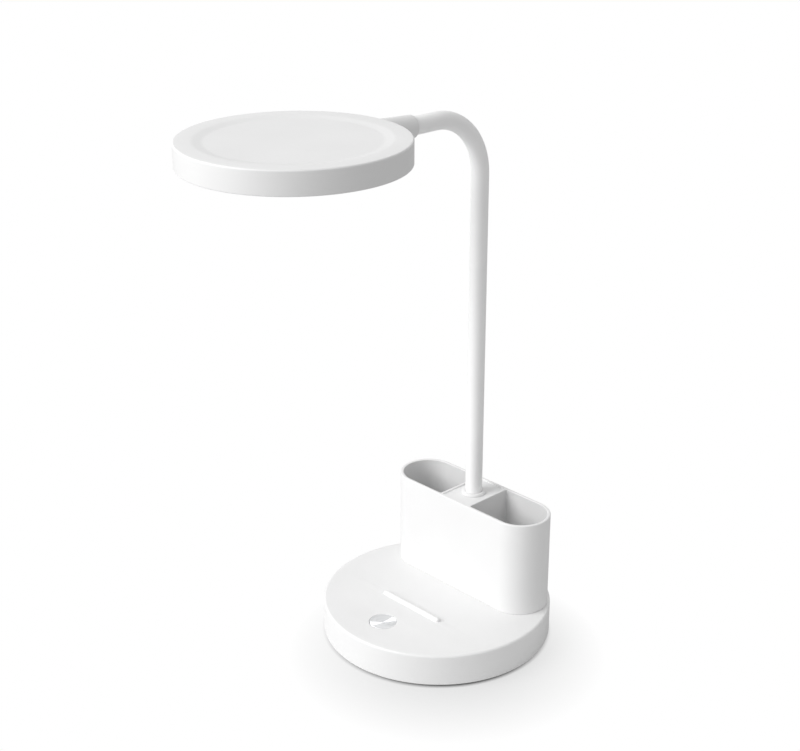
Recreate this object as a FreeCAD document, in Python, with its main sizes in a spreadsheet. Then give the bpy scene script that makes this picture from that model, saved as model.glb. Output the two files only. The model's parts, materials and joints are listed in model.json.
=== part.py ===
import FreeCAD, Part
import math
import os
import Sketcher
from FreeCAD import Placement, Rotation, Vector
from types import SimpleNamespace

# A desk lamp: a round weighted base with a touch key and a phone ledge, a pen pot with two
# compartments, a silicone-covered gooseneck that rises out of the pot, and a flat round LED head.
# Millimetres. The origin is on the table under the middle of the base. +Z is up, the head reaches
# out towards -Y, and +X runs along the pen pot.

doc = FreeCAD.newDocument("desk_lamp")


# ---------------------------------------------------------------- sizes

DIMENSIONS = {
    # the housing of the base
    "base_radius": 70.0,
    "base_height": 19.8,
    "base_wall": 2.2,
    "base_edge_round": 1.5,
    "deck_thickness": 2.0,
    "foot_gap": 1.2,
    "pad_radius": 65.0,
    "pad_thickness": 1.4,
    "cover_thickness": 2.0,
    "cover_gap": 0.3,
    "ballast_radius": 53.0,
    "ballast_thickness": 3.0,
    "peg_radius": 2.0,
    "peg_spread": 30.0,
    "fit_gap": 0.1,
    # its screws
    "screw_circle": 58.0,
    "screw_radius": 1.5,
    "screw_length": 8.0,
    "screw_head_radius": 2.8,
    "screw_head_height": 1.5,
    "screw_gap": 0.05,
    "post_wall": 2.0,
    "small_screw_radius": 1.0,
    "small_screw_length": 4.4,
    "small_head_radius": 1.9,
    "small_head_height": 1.2,
    # the phone ledge and the touch key
    "ledge_length": 48.0,
    "ledge_width": 3.0,
    "ledge_height": 2.2,
    "ledge_round": 0.8,
    "ledge_forward": 22.0,
    "key_radius": 8.2,
    "key_thickness": 1.2,
    "key_dish": 0.7,
    "key_gap": 0.15,
    "key_seat": 2.0,
    "key_cup_floor": 4.0,
    "key_forward": 45.8,
    "contact_radius": 4.0,
    # the electronics in the base
    "board_thickness": 1.2,
    "touch_board_width": 30.0,
    "touch_board_depth": 20.0,
    "charge_board_width": 36.0,
    "charge_board_depth": 23.0,
    "charge_board_drop": 9.6,
    "board_edge_margin": 3.2,
    "usb_width": 8.94,
    "usb_height": 3.26,
    "usb_length": 7.3,
    "usb_wall": 0.3,
    "usb_opening_gap": 0.35,
    "battery_width": 34.0,
    "battery_length": 50.0,
    "battery_thickness": 7.6,
    "battery_left": 29.0,
    "battery_forward": 8.0,
    "tape_gap": 0.15,
    "lead_radius": 0.8,
    "lead_gap": 0.1,
    # the pen pot
    "pot_length": 114.3,
    "pot_width": 36.5,
    "pot_height": 60.6,
    "pot_wall": 2.0,
    "pot_floor": 2.0,
    "pot_back": 31.5,
    "pot_rim_round": 0.5,
    "column_width": 25.0,
    "column_wall": 1.7,
    "column_top_drop": 0.8,
    "column_top_thickness": 2.0,
    "pot_post_height": 14.0,
    # the neck
    "core_radius": 4.1,
    "socket_wall": 0.8,
    "socket_gap": 0.05,
    "socket_rim": 1.2,
    "socket_depth": 3.0,
    "shoulder_drop": 2.9,
    "bore_radius": 1.3,
    "stem_wall": 0.9,
    "flare_radius": 2.1,
    "sleeve_gap": 0.05,
    "sleeve_wall": 1.0,
    "wire_radius": 0.9,
    "wire_gap": 0.6,
    "bend_radius": 36.6,
    "neck_run_height": 320.0,
    "first_bend_rise": 14.4,
    "collar_width": 2.25,
    "collar_height": 1.7,
    "ferrule_flange_width": 2.25,
    "ferrule_flange_height": 2.0,
    "ferrule_cup_height": 19.0,
    "ferrule_cup_depth": 10.0,
    "thread_radius": 4.0,
    "thread_length": 8.0,
    "nut_flats": 13.0,
    "nut_height": 4.0,
    # the head
    "head_radius": 60.7,
    "head_thickness": 13.1,
    "head_reach": 137.0,
    "head_rise": 7.9,
    "head_wall": 2.0,
    "head_edge_round": 1.0,
    "rim_width": 9.7,
    "dish_slope": 5.0,
    "dish_depth": 0.9,
    "dish_round": 12.0,
    "boss_wall": 1.25,
    "boss_length": 22.0,
    "boss_tip_drop": 0.2,
    "boss_round": 1.1,
    "sleeve_entry": 5.0,
    "cup_wall": 0.75,
    "cup_length": 10.0,
    "cup_hold": 8.0,
    "tang_radius": 2.8,
    "tang_end": 7.0,
    "tang_groove": 0.8,
    "clip_thickness": 0.9,
    "clip_width": 11.0,
    "led_board_inset": 8.7,
    "led_board_drop": 2.4,
    "led_board_notch": 8.0,
    "led_post_inset": 12.0,
    "led_post_radius": 3.0,
    "chip_length": 3.5,
    "chip_width": 2.8,
    "chip_height": 0.8,
    "outer_chip_inset": 8.0,
    "chip_ring_spacing": 18.0,
    "diffuser_thickness": 1.4,
    "diffuser_gap": 0.2,
    "ring_inset": 0.1,
    "ring_flange": 3.4,
    "ring_thickness": 0.8,
    "ring_wall": 0.9,
    "reflector_wall": 0.8,
}

# Counts and angles.
LOWER_LINKS = 5
ARCH_LINKS = 3
ARCH_STEP = 90.0 / ARCH_LINKS
BALL_CUT_ANGLE = 36.0
OUTER_CHIPS = 24
INNER_CHIPS = 12
LED_POSTS = 3


class Size:
    """A length that knows both its value and the sheet formula that it follows."""

    def __init__(self, value, formula):
        self.value = value
        self.formula = formula

    def __add__(self, other):
        other = as_size(other)
        return Size(self.value + other.value, f"({self.formula} + {other.formula})")

    def __radd__(self, other):
        return as_size(other) + self

    def __sub__(self, other):
        other = as_size(other)
        return Size(self.value - other.value, f"({self.formula} - {other.formula})")

    def __rsub__(self, other):
        return as_size(other) - self

    def __mul__(self, other):
        other = as_size(other)
        return Size(self.value * other.value, f"({self.formula} * {other.formula})")

    def __rmul__(self, other):
        return as_size(other) * self

    def __truediv__(self, other):
        other = as_size(other)
        return Size(self.value / other.value, f"({self.formula} / {other.formula})")

    def __neg__(self):
        return Size(-self.value, f"(0 - {self.formula})")


def as_size(number):
    return number if isinstance(number, Size) else Size(float(number), f"{float(number):.9f}")


def write_sheet(values):
    """Puts every driving dimension in a cell of its own, and gives back the named sizes."""
    sheet = doc.addObject("Spreadsheet::Sheet", "dims")
    named = SimpleNamespace()
    for row, (name, number) in enumerate(values.items(), start=1):
        sheet.set(f"A{row}", name.replace("_", " "))
        sheet.set(f"B{row}", str(number))
        sheet.setAlias(f"B{row}", name)
        setattr(named, name, Size(number, f"dims.{name}"))
    doc.recompute()
    return named


d = write_sheet(DIMENSIONS)


# ---------------------------------------------------------------- tools

SUBPARTS = []


def bind(thing, path, size):
    """Ties one property to the sheet."""
    thing.setExpression(path, as_size(size).formula)


def place(thing, x=0, y=0, z=0, turn=None):
    """Sets where a thing stands, tied to the sheet, and how it is turned."""
    spot = Vector(as_size(x).value, as_size(y).value, as_size(z).value)
    thing.Placement = Placement(spot, turn or Rotation())
    for axis, size in (("x", x), ("y", y), ("z", z)):
        if isinstance(size, Size):
            bind(thing, f"Placement.Base.{axis}", size)
    return thing


def subpart(thing, label):
    """Marks a finished sub-part and gives it its name."""
    thing.Label = label
    SUBPARTS.append(thing)
    return thing


def new_body(label):
    return subpart(doc.addObject("PartDesign::Body", f"body_{label}"), label)


def sketch_on(body, plane, offset=0):
    """A sketch on one of the body's origin planes, moved along the plane's own normal.
    The normals are +Z for XY_Plane, -Y for XZ_Plane and +X for YZ_Plane."""
    sketch = body.newObject("Sketcher::SketchObject", f"{body.Label}_sketch")
    support = next(part for part in body.Origin.OriginFeatures if part.Role == plane)
    sketch.AttachmentSupport = (support, [""])
    sketch.MapMode = "FlatFace"
    if isinstance(offset, Size):
        bind(sketch, "AttachmentOffset.Base.z", offset)
    return sketch


def hold(sketch, kind, size, *where):
    """One dimension of a sketch, tied to the sheet."""
    number = sketch.addConstraint(Sketcher.Constraint(kind, *where, as_size(size).value))
    if isinstance(size, Size):
        sketch.setExpression(f"Constraints[{number}]", size.formula)


def pin(sketch, shape, point, x, y):
    """Holds one point of a sketch's shape at x, y."""
    for kind, size, axis in (("DistanceX", x, -2), ("DistanceY", y, -1)):
        if isinstance(size, Size) or size != 0:
            hold(sketch, kind, size, -1, 1, shape, point)
        else:
            sketch.addConstraint(Sketcher.Constraint("PointOnObject", shape, point, axis))


def spot_in_sketch(x, y):
    return Vector(as_size(x).value, as_size(y).value, 0)


def outline(sketch, corners):
    """A closed outline of straight sides."""
    first = sketch.GeometryCount
    spots = [spot_in_sketch(x, y) for x, y in corners]
    for start, end in zip(spots, spots[1:] + spots[:1]):
        sketch.addGeometry(Part.LineSegment(start, end))
    for number, (x, y) in enumerate(corners):
        before = first + (number - 1) % len(corners)
        sketch.addConstraint(Sketcher.Constraint("Coincident", before, 2, first + number, 1))
        pin(sketch, first + number, 1, x, y)


def rectangle(sketch, low_x, low_y, high_x, high_y):
    outline(sketch, [(low_x, low_y), (high_x, low_y), (high_x, high_y), (low_x, high_y)])


def circle(sketch, x, y, radius):
    shape = sketch.addGeometry(
        Part.Circle(spot_in_sketch(x, y), Vector(0, 0, 1), as_size(radius).value)
    )
    pin(sketch, shape, 3, x, y)
    hold(sketch, "Radius", radius, shape)


def half_round(sketch, x, y, radius, side):
    """A half circle about x, y, open towards the middle: side is +1 for the right end, -1 for the left."""
    centre = spot_in_sketch(x, y)
    full = Part.Circle(centre, Vector(0, 0, 1), as_size(radius).value)
    start = -math.pi / 2 if side > 0 else math.pi / 2
    return sketch.addGeometry(Part.ArcOfCircle(full, start, start + math.pi))


def stadium(sketch, half_straight, y, radius):
    """A slot along X: two straight sides and two half-round ends."""
    low, high = y - radius, y + radius
    left = -as_size(half_straight)
    bottom = sketch.addGeometry(
        Part.LineSegment(spot_in_sketch(left, low), spot_in_sketch(half_straight, low))
    )
    right_end = half_round(sketch, half_straight, y, radius, 1)
    top = sketch.addGeometry(
        Part.LineSegment(spot_in_sketch(half_straight, high), spot_in_sketch(left, high))
    )
    left_end = half_round(sketch, left, y, radius, -1)
    loop = [bottom, right_end, top, left_end]
    for before, after in zip(loop, loop[1:] + loop[:1]):
        sketch.addConstraint(Sketcher.Constraint("Coincident", before, 2, after, 1))
    pin(sketch, bottom, 1, left, low)
    pin(sketch, bottom, 2, half_straight, low)
    pin(sketch, top, 1, half_straight, high)
    pin(sketch, top, 2, left, high)
    hold(sketch, "DistanceX", half_straight, -1, 1, right_end, 3)
    hold(sketch, "DistanceX", left, -1, 1, left_end, 3)


def round_ended(sketch, flat_x, end_x, y, radius, side):
    """The plan of one compartment: a flat wall at flat_x and a half-round end about end_x."""
    low, high = y - radius, y + radius
    flat_x, end_x = side * flat_x, side * end_x
    first, last = (low, high) if side > 0 else (high, low)
    near = sketch.addGeometry(
        Part.LineSegment(spot_in_sketch(flat_x, first), spot_in_sketch(end_x, first))
    )
    end = half_round(sketch, end_x, y, radius, side)
    far = sketch.addGeometry(
        Part.LineSegment(spot_in_sketch(end_x, last), spot_in_sketch(flat_x, last))
    )
    flat = sketch.addGeometry(
        Part.LineSegment(spot_in_sketch(flat_x, last), spot_in_sketch(flat_x, first))
    )
    loop = [near, end, far, flat]
    for before, after in zip(loop, loop[1:] + loop[:1]):
        sketch.addConstraint(Sketcher.Constraint("Coincident", before, 2, after, 1))
    pin(sketch, near, 1, flat_x, first)
    pin(sketch, near, 2, end_x, first)
    pin(sketch, far, 1, end_x, last)
    pin(sketch, far, 2, flat_x, last)
    hold(sketch, "DistanceX", end_x, -1, 1, end, 3)


def feature(body, kind, sketch):
    made = body.newObject(f"PartDesign::{kind}", f"{body.Label}_{kind.lower()}")
    made.Profile = sketch
    return made


def pad(body, sketch, length):
    """Adds material from the sketch along its normal."""
    made = feature(body, "Pad", sketch)
    bind(made, "Length", length)
    return made


def cut(body, sketch, length, along_normal=True):
    """Takes material away from the sketch, along its normal or against it."""
    made = feature(body, "Pocket", sketch)
    bind(made, "Length", length)
    made.Reversed = along_normal
    return made


def spin(body, sketch, kind="Revolution"):
    """Turns a half section once round the sketch's upright axis, to add or (Groove) remove it."""
    made = feature(body, kind, sketch)
    made.ReferenceAxis = (sketch, ["V_Axis"])
    made.Angle = 360
    return made


def round_edges(body, radius, wanted):
    """Fillets each edge of the body that wanted() picks."""
    doc.recompute()
    base = body.Tip
    names = [f"Edge{n}" for n, edge in enumerate(base.Shape.Edges, start=1) if wanted(edge)]
    if not names:
        raise RuntimeError(f"{body.Label}: no edge to round")
    made = body.newObject("PartDesign::Fillet", f"{body.Label}_fillet")
    made.Base = (base, names)
    bind(made, "Radius", radius)
    return made


def level(edge, height):
    """True where an edge lies flat at this height."""
    box = edge.BoundBox
    return abs(box.ZMin - height.value) < 0.001 and abs(box.ZMax - height.value) < 0.001


def primitive(kind, **sizes):
    solid = doc.addObject(f"Part::{kind}", kind.lower())
    for name, size in sizes.items():
        bind(solid, name, size)
    return solid


def joined(*solids):
    made = doc.addObject("Part::MultiFuse", "joined")
    made.Shapes = list(solids)
    return made


def less(base, *tools):
    """The base with the tools cut out of it."""
    for tool in tools:
        made = doc.addObject("Part::Cut", "less")
        made.Base = base
        made.Tool = tool
        base = made
    return base


def group(*solids):
    made = doc.addObject("Part::Compound", "group")
    made.Links = list(solids)
    return made


# ---------------------------------------------------------------- levels and places that parts share

housing_low = d.foot_gap
deck_top = d.foot_gap + d.base_height
deck_under = deck_top - d.deck_thickness
base_inner = d.base_radius - d.base_wall
cover_low = d.pad_thickness
cover_top = cover_low + d.cover_thickness
ballast_low = cover_top
ballast_top = ballast_low + d.ballast_thickness
screw_hole = d.screw_radius + d.screw_gap
small_hole = d.small_screw_radius + d.screw_gap
post_radius = d.screw_radius + d.post_wall
board_post_radius = d.small_screw_radius + 0.8 * d.post_wall
key_cup_low = deck_top - d.key_thickness - d.key_cup_floor
touch_board_top = key_cup_low - 2 * (d.lead_radius + d.lead_gap)
charge_board_top = deck_under - d.charge_board_drop

pot_radius = d.pot_width / 2
pot_straight = d.pot_length / 2 - pot_radius
pot_inner = pot_radius - d.pot_wall
pot_rim = deck_top + d.pot_height
column_half = d.column_width / 2
column_inner = column_half - d.column_wall
column_top = pot_rim - d.column_top_drop
column_ceiling = column_top - d.column_top_thickness

sleeve_bore = d.core_radius + d.sleeve_gap
sleeve_radius = sleeve_bore + d.sleeve_wall
neck_bore_in_parts = sleeve_radius + d.fit_gap
collar_radius = neck_bore_in_parts + d.collar_width
flange_radius = sleeve_radius + d.ferrule_flange_width
boss_radius = neck_bore_in_parts + d.boss_wall
cup_radius = sleeve_bore + d.cup_wall
ball_socket = d.core_radius - d.socket_wall
ball_radius = ball_socket - d.socket_gap
stem_radius = d.bore_radius + d.stem_wall
neck_y = d.pot_back
arch_low = d.neck_run_height - d.bend_radius
arch_y = neck_y - d.bend_radius
first_bend = pot_rim + d.first_bend_rise
lower_pitch = (arch_low - first_bend) / LOWER_LINKS

head_y = neck_y - d.head_reach
head_top = d.neck_run_height + d.head_rise
head_low = head_top - d.head_thickness
boss_tip_y = head_y + d.head_radius + d.boss_length
sleeve_end_y = boss_tip_y - d.sleeve_entry
cup_end_y = sleeve_end_y - d.cup_length
core_end_y = sleeve_end_y - d.cup_hold
head_inner = d.head_radius - d.head_wall
wall_inside_y = head_y + head_inner
tang_end_y = wall_inside_y - d.tang_end
clip_y = wall_inside_y - 0.3 * d.tang_end
dish_radius = d.head_radius - d.rim_width
dish_floor = head_top - d.dish_depth
dish_ceiling = dish_floor - d.head_wall
rim_ceiling = head_top - d.head_wall
led_board_radius = head_inner - d.led_board_inset
led_post_circle = led_board_radius - d.led_post_inset
outer_chip_circle = led_board_radius - d.outer_chip_inset
inner_chip_circle = outer_chip_circle - d.chip_ring_spacing
led_board_top = dish_ceiling - d.led_board_drop
led_board_low = led_board_top - d.board_thickness
ring_low = head_low + d.ring_inset
diffuser_low = ring_low + d.ring_thickness
diffuser_top = diffuser_low + d.diffuser_thickness
ring_radius = head_inner - d.fit_gap
diffuser_radius = ring_radius - d.ring_wall - d.diffuser_gap

TURN_TO_FRONT = Rotation(Vector(1, 0, 0), 90)


def corner_spots(spread_x, spread_y, y=0):
    """The four corners of a pattern that is symmetric about X = 0 and about y."""
    return [(sx * spread_x, y + sy * spread_y) for sx in (-1, 1) for sy in (-1, 1)]


case_screw_spread = d.screw_circle * math.sqrt(0.5)
CASE_SPOTS = corner_spots(case_screw_spread, case_screw_spread)
pot_post_x = column_inner - 0.8 * post_radius
pot_post_y = pot_inner - 0.8 * post_radius
POT_SPOTS = corner_spots(pot_post_x, pot_post_y, d.pot_back)
touch_screw_x = d.touch_board_width / 2 - d.board_edge_margin
TOUCH_SPOTS = [(side * touch_screw_x, -d.key_forward) for side in (-1, 1)]
charge_board_back = base_inner - 4.5
charge_board_front = charge_board_back - d.charge_board_depth
charge_screw_x = d.charge_board_width / 2 - d.board_edge_margin
charge_screw_y = charge_board_back - d.board_edge_margin - 3.0
CHARGE_SPOTS = [(side * charge_screw_x, charge_screw_y) for side in (-1, 1)]
usb_middle = charge_board_top + d.usb_height / 2 + d.screw_gap
usb_straight = (d.usb_width - d.usb_height) / 2


# ---------------------------------------------------------------- the base


def base_shell():
    """The white housing: deck and wall in one moulding, with its posts, ledge and key seat."""
    body = new_body("base_shell")
    section = sketch_on(body, "XZ_Plane")
    outline(
        section,
        [
            (0, deck_top),
            (0, deck_under),
            (base_inner, deck_under),
            (base_inner, housing_low),
            (d.base_radius, housing_low),
            (d.base_radius, deck_top),
        ],
    )
    spin(body, section)
    round_edges(
        body,
        d.base_edge_round,
        lambda edge: level(edge, deck_top) and edge.BoundBox.XLength > d.base_radius.value,
    )

    posts = sketch_on(body, "XY_Plane", cover_top)
    for x, y in CASE_SPOTS:
        circle(posts, x, y, post_radius)
    pad(body, posts, deck_under - cover_top + d.deck_thickness / 2)
    for top, spots in ((touch_board_top, TOUCH_SPOTS), (charge_board_top, CHARGE_SPOTS)):
        board_posts = sketch_on(body, "XY_Plane", top)
        for x, y in spots:
            circle(board_posts, x, y, board_post_radius)
        pad(body, board_posts, deck_under - top + d.deck_thickness / 2)

    # a cup under the deck carries the touch key
    cup = sketch_on(body, "XY_Plane", key_cup_low)
    circle(cup, 0, -d.key_forward, d.key_radius + d.key_gap + d.post_wall)
    pad(body, cup, deck_top - d.deck_thickness / 2 - key_cup_low)

    ledge = sketch_on(body, "XY_Plane", deck_top - d.deck_thickness / 2)
    stadium(ledge, (d.ledge_length - d.ledge_width) / 2, -d.ledge_forward, d.ledge_width / 2)
    pad(body, ledge, d.ledge_height + d.deck_thickness / 2)
    ledge_top = deck_top + d.ledge_height
    round_edges(body, d.ledge_round, lambda edge: level(edge, ledge_top))

    key_seat = sketch_on(body, "XY_Plane", deck_top)
    circle(key_seat, 0, -d.key_forward, d.key_radius + d.key_gap)
    cut(body, key_seat, d.key_thickness + d.key_gap, along_normal=False)
    key_hole = sketch_on(body, "XY_Plane", deck_top)
    circle(key_hole, 0, -d.key_forward, d.key_radius - d.key_seat)
    cut(body, key_hole, deck_top - key_cup_low, along_normal=False)

    neck_hole = sketch_on(body, "XY_Plane", deck_top)
    circle(neck_hole, 0, neck_y, d.thread_radius + d.fit_gap)
    for x, y in POT_SPOTS:
        circle(neck_hole, x, y, screw_hole)
    cut(body, neck_hole, 2 * d.deck_thickness, along_normal=False)

    case_holes = sketch_on(body, "XY_Plane", cover_top)
    for x, y in CASE_SPOTS:
        circle(case_holes, x, y, screw_hole)
    cut(body, case_holes, d.screw_length)
    for top, spots in ((touch_board_top, TOUCH_SPOTS), (charge_board_top, CHARGE_SPOTS)):
        holes = sketch_on(body, "XY_Plane", top)
        for x, y in spots:
            circle(holes, x, y, small_hole)
        cut(body, holes, d.small_screw_length)

    socket_opening = sketch_on(body, "XZ_Plane", -(base_inner - d.base_wall))
    stadium(
        socket_opening, usb_straight, usb_middle, d.usb_height / 2 + d.usb_opening_gap
    )
    cut(body, socket_opening, 4 * d.base_wall, along_normal=False)


def bottom_cover():
    """The plate that closes the housing from below, with counterbores for its screws."""
    body = new_body("bottom_cover")
    plate = sketch_on(body, "XY_Plane", cover_low)
    circle(plate, 0, 0, base_inner - d.cover_gap)
    pad(body, plate, d.cover_thickness)
    pegs = sketch_on(body, "XY_Plane", cover_low)
    for side in (-1, 1):
        circle(pegs, side * d.peg_spread, -d.peg_spread / 2, d.peg_radius)
    pad(body, pegs, d.cover_thickness + d.ballast_thickness)
    heads = sketch_on(body, "XY_Plane", cover_low)
    holes = sketch_on(body, "XY_Plane", cover_low)
    for x, y in CASE_SPOTS:
        circle(heads, x, y, d.screw_head_radius + d.fit_gap)
        circle(holes, x, y, screw_hole)
    cut(body, heads, d.screw_head_height + d.screw_gap)
    cut(body, holes, d.cover_thickness)


def antislip_pad():
    body = new_body("antislip_pad")
    disc = sketch_on(body, "XY_Plane")
    circle(disc, 0, 0, d.pad_radius)
    pad(body, disc, d.pad_thickness)


def ballast_plate():
    """The steel disc that keeps the lamp from tipping, held on two pegs of the cover."""
    body = new_body("ballast_plate")
    disc = sketch_on(body, "XY_Plane", ballast_low)
    circle(disc, 0, 0, d.ballast_radius)
    for side in (-1, 1):
        circle(disc, side * d.peg_spread, -d.peg_spread / 2, d.peg_radius + d.fit_gap)
    pad(body, disc, d.ballast_thickness)


def screw(x, y, low, radius, length, head_radius, head_height):
    """A pan-head screw that points up, its head at the bottom."""
    head = place(primitive("Cylinder", Radius=head_radius, Height=head_height), x, y, low)
    shank = primitive("Cylinder", Radius=radius, Height=head_height + length)
    return joined(head, place(shank, x, y, low))


def case_screw(x, y, seat):
    return screw(
        x,
        y,
        seat - d.screw_head_height,
        d.screw_radius,
        d.screw_length - d.screw_gap,
        d.screw_head_radius,
        d.screw_head_height,
    )


def small_screw(x, y, seat):
    return screw(
        x,
        y,
        seat - d.small_head_height,
        d.small_screw_radius,
        d.small_screw_length - d.screw_gap,
        d.small_head_radius,
        d.small_head_height,
    )


def base_screws():
    """Eight equal screws: four close the cover, four hold the pen pot down from inside."""
    cover_seat = cover_low + d.screw_head_height + d.screw_gap / 2
    closing = [case_screw(x, y, cover_seat) for x, y in CASE_SPOTS]
    holding = [case_screw(x, y, deck_under) for x, y in POT_SPOTS]
    subpart(group(*closing, *holding), "base_screws")


def touch_key():
    """A spun metal disc, dished on top, that senses the finger."""
    body = new_body("touch_key")
    section = sketch_on(body, "XZ_Plane")
    low = deck_top - d.key_thickness - d.key_gap / 2
    top = deck_top - d.key_gap / 2
    outline(
        section,
        [
            (0, top - d.key_dish),
            (0, low),
            (d.key_radius, low),
            (d.key_radius, top),
            (0.93 * d.key_radius, top),
            (0.55 * d.key_radius, top - 0.62 * d.key_dish),
        ],
    )
    spin(body, section)
    place(body, y=-d.key_forward)


def touch_contact():
    """A block of conductive foam between the key and its board."""
    foam = primitive(
        "Cylinder",
        Radius=d.contact_radius,
        Height=deck_top - d.key_thickness - d.key_gap / 2 - touch_board_top,
    )
    subpart(place(foam, y=-d.key_forward, z=touch_board_top), "touch_contact")


def board(label, top, low_x, low_y, high_x, high_y, spots):
    """A circuit board with its screw holes."""
    body = new_body(label)
    plan = sketch_on(body, "XY_Plane", top - d.board_thickness)
    rectangle(plan, low_x, low_y, high_x, high_y)
    for x, y in spots:
        circle(plan, x, y, small_hole)
    pad(body, plan, d.board_thickness)


def touch_board():
    half_width, half_depth = d.touch_board_width / 2, d.touch_board_depth / 2
    board(
        "touch_board",
        touch_board_top,
        -half_width,
        -d.key_forward - half_depth,
        half_width,
        -d.key_forward + half_depth,
        TOUCH_SPOTS,
    )


def charge_board():
    half_width = d.charge_board_width / 2
    board(
        "charge_board",
        charge_board_top,
        -half_width,
        charge_board_front,
        half_width,
        charge_board_back,
        CHARGE_SPOTS,
    )


def board_screws():
    screws = [small_screw(x, y, touch_board_top - d.board_thickness) for x, y in TOUCH_SPOTS]
    screws += [small_screw(x, y, charge_board_top - d.board_thickness) for x, y in CHARGE_SPOTS]
    subpart(group(*screws), "board_screws")


def usb_inlet():
    """The charging socket: a pressed metal shell round a contact tongue, its mouth to the rear."""
    body = new_body("usb_inlet")
    front = base_inner - d.usb_length + d.base_wall / 2
    shell = sketch_on(body, "XZ_Plane", -(front + d.usb_length))
    stadium(shell, usb_straight, usb_middle, d.usb_height / 2)
    pad(body, shell, d.usb_length)
    mouth = sketch_on(body, "XZ_Plane", -(front + d.usb_length))
    stadium(mouth, usb_straight, usb_middle, d.usb_height / 2 - d.usb_wall)
    cut(body, mouth, d.usb_length - 2 * d.usb_wall)
    tongue = sketch_on(body, "XZ_Plane", -(front + d.usb_length - 3 * d.usb_wall))
    half_width = usb_straight + d.usb_wall
    rectangle(
        tongue, -half_width, usb_middle - d.usb_wall, half_width, usb_middle + d.usb_wall
    )
    pad(body, tongue, d.usb_length - 4 * d.usb_wall)


def battery_pack():
    """A flat lithium pouch cell on the ballast plate."""
    body = new_body("battery_pack")
    plan = sketch_on(body, "XY_Plane", ballast_top + d.tape_gap)
    half_width, half_length = d.battery_width / 2, d.battery_length / 2
    rectangle(
        plan,
        -d.battery_left - half_width,
        -d.battery_forward - half_length,
        -d.battery_left + half_width,
        -d.battery_forward + half_length,
    )
    pad(body, plan, d.battery_thickness)
    round_edges(body, 4 * d.ledge_round, lambda edge: edge.BoundBox.ZLength > 0.001)


def lead(label, route, radius):
    """A wire lead of two cores in one jacket: straight runs joined by tangent arcs."""
    points = [Vector(*(as_size(size).value for size in spot)) for spot in route]
    pieces = []
    start = points[0]
    for before, corner, after in zip(points, points[1:], points[2:]):
        back = (before - corner).normalize()
        onward = (after - corner).normalize()
        shorter = min((before - corner).Length, (after - corner).Length)
        reach = 0.45 * shorter
        first, last = corner + back * reach, corner + onward * reach
        half_turn = (math.pi - back.getAngle(onward)) / 2
        bend = reach / math.tan(half_turn)
        middle_way = (back + onward).normalize()
        arc_centre = corner + middle_way * math.hypot(bend, reach)
        nearest = arc_centre - middle_way * bend
        pieces.append(Part.LineSegment(start, first).toShape())
        pieces.append(Part.Arc(first, nearest, last).toShape())
        start = last
    pieces.append(Part.LineSegment(start, points[-1]).toShape())
    path = Part.Wire(pieces)
    heading = points[1] - points[0]
    ring = Part.Wire(Part.makeCircle(as_size(radius).value, points[0], heading))
    made = doc.addObject("Part::Feature", f"wire_{label}")
    made.Shape = path.makePipeShell([ring], True, False)
    subpart(made, label)


def base_leads():
    """The leads of the battery, the touch board and the lamp, all to the charging board."""
    lies_at = charge_board_top + d.lead_radius + d.lead_gap
    battery_back = -d.battery_forward + d.battery_length / 2
    on_board_y = charge_board_front + 3 * d.lead_radius
    battery_x = -d.battery_left + d.battery_width / 4
    lead(
        "battery_lead",
        [
            (battery_x, battery_back, lies_at),
            (battery_x, battery_back + 12 * d.lead_radius, lies_at),
            (battery_x + 8 * d.lead_radius, on_board_y, lies_at),
            (battery_x + 11 * d.lead_radius, on_board_y + 6 * d.lead_radius, lies_at),
        ],
        d.lead_radius,
    )
    touch_edge = -d.key_forward + d.touch_board_depth / 2
    touch_x = d.touch_board_width / 4
    on_touch_z = touch_board_top + d.lead_radius + d.lead_gap
    lead(
        "touch_lead",
        [
            (touch_x, touch_edge - 4 * d.lead_radius, on_touch_z),
            (touch_x, touch_edge + 12 * d.lead_radius, on_touch_z),
            (touch_x + 6, 0, lies_at),
            (touch_x + 6, on_board_y + 4 * d.lead_radius, lies_at),
        ],
        d.lead_radius,
    )
    lead(
        "lamp_lead",
        [
            (0, neck_y, deck_top - d.thread_length),
            (0, neck_y, lies_at),
            (0, on_board_y + 10 * d.lead_radius, lies_at),
        ],
        d.wire_radius,
    )


# ---------------------------------------------------------------- the pen pot


def pen_pot():
    """A slot-shaped pot: two open compartments either side of the column that hides the neck's foot."""
    body = new_body("pen_pot")
    plan = sketch_on(body, "XY_Plane", deck_top)
    stadium(plan, pot_straight, d.pot_back, pot_radius)
    pad(body, plan, d.pot_height)
    compartments = sketch_on(body, "XY_Plane", deck_top + d.pot_floor)
    for side in (-1, 1):
        round_ended(compartments, column_half, pot_straight, d.pot_back, pot_inner, side)
    cut(body, compartments, d.pot_height)

    low_y, high_y = d.pot_back - pot_inner, d.pot_back + pot_inner
    column_recess = sketch_on(body, "XY_Plane", column_top)
    rectangle(column_recess, -column_inner, low_y, column_inner, high_y)
    cut(body, column_recess, 2 * d.column_top_drop)
    hollow = sketch_on(body, "XY_Plane", deck_top)
    rectangle(hollow, -column_inner, low_y, column_inner, high_y)
    cut(body, hollow, column_ceiling - deck_top)

    posts = sketch_on(body, "XY_Plane", deck_top)
    pilot = sketch_on(body, "XY_Plane", deck_top)
    for x, y in POT_SPOTS:
        circle(posts, x, y, post_radius - d.screw_gap)
        circle(pilot, x, y, screw_hole)
    pad(body, posts, d.pot_post_height)
    cut(body, pilot, d.screw_length)
    neck_hole = sketch_on(body, "XY_Plane", column_ceiling)
    circle(neck_hole, 0, neck_y, neck_bore_in_parts)
    cut(body, neck_hole, 2 * d.column_top_thickness)
    round_edges(
        body,
        d.pot_rim_round,
        lambda edge: level(edge, pot_rim)
        and edge.BoundBox.XLength > d.column_width.value
        and edge.BoundBox.YMin < (d.pot_back - pot_inner - d.pot_wall / 2).value,
    )


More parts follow.
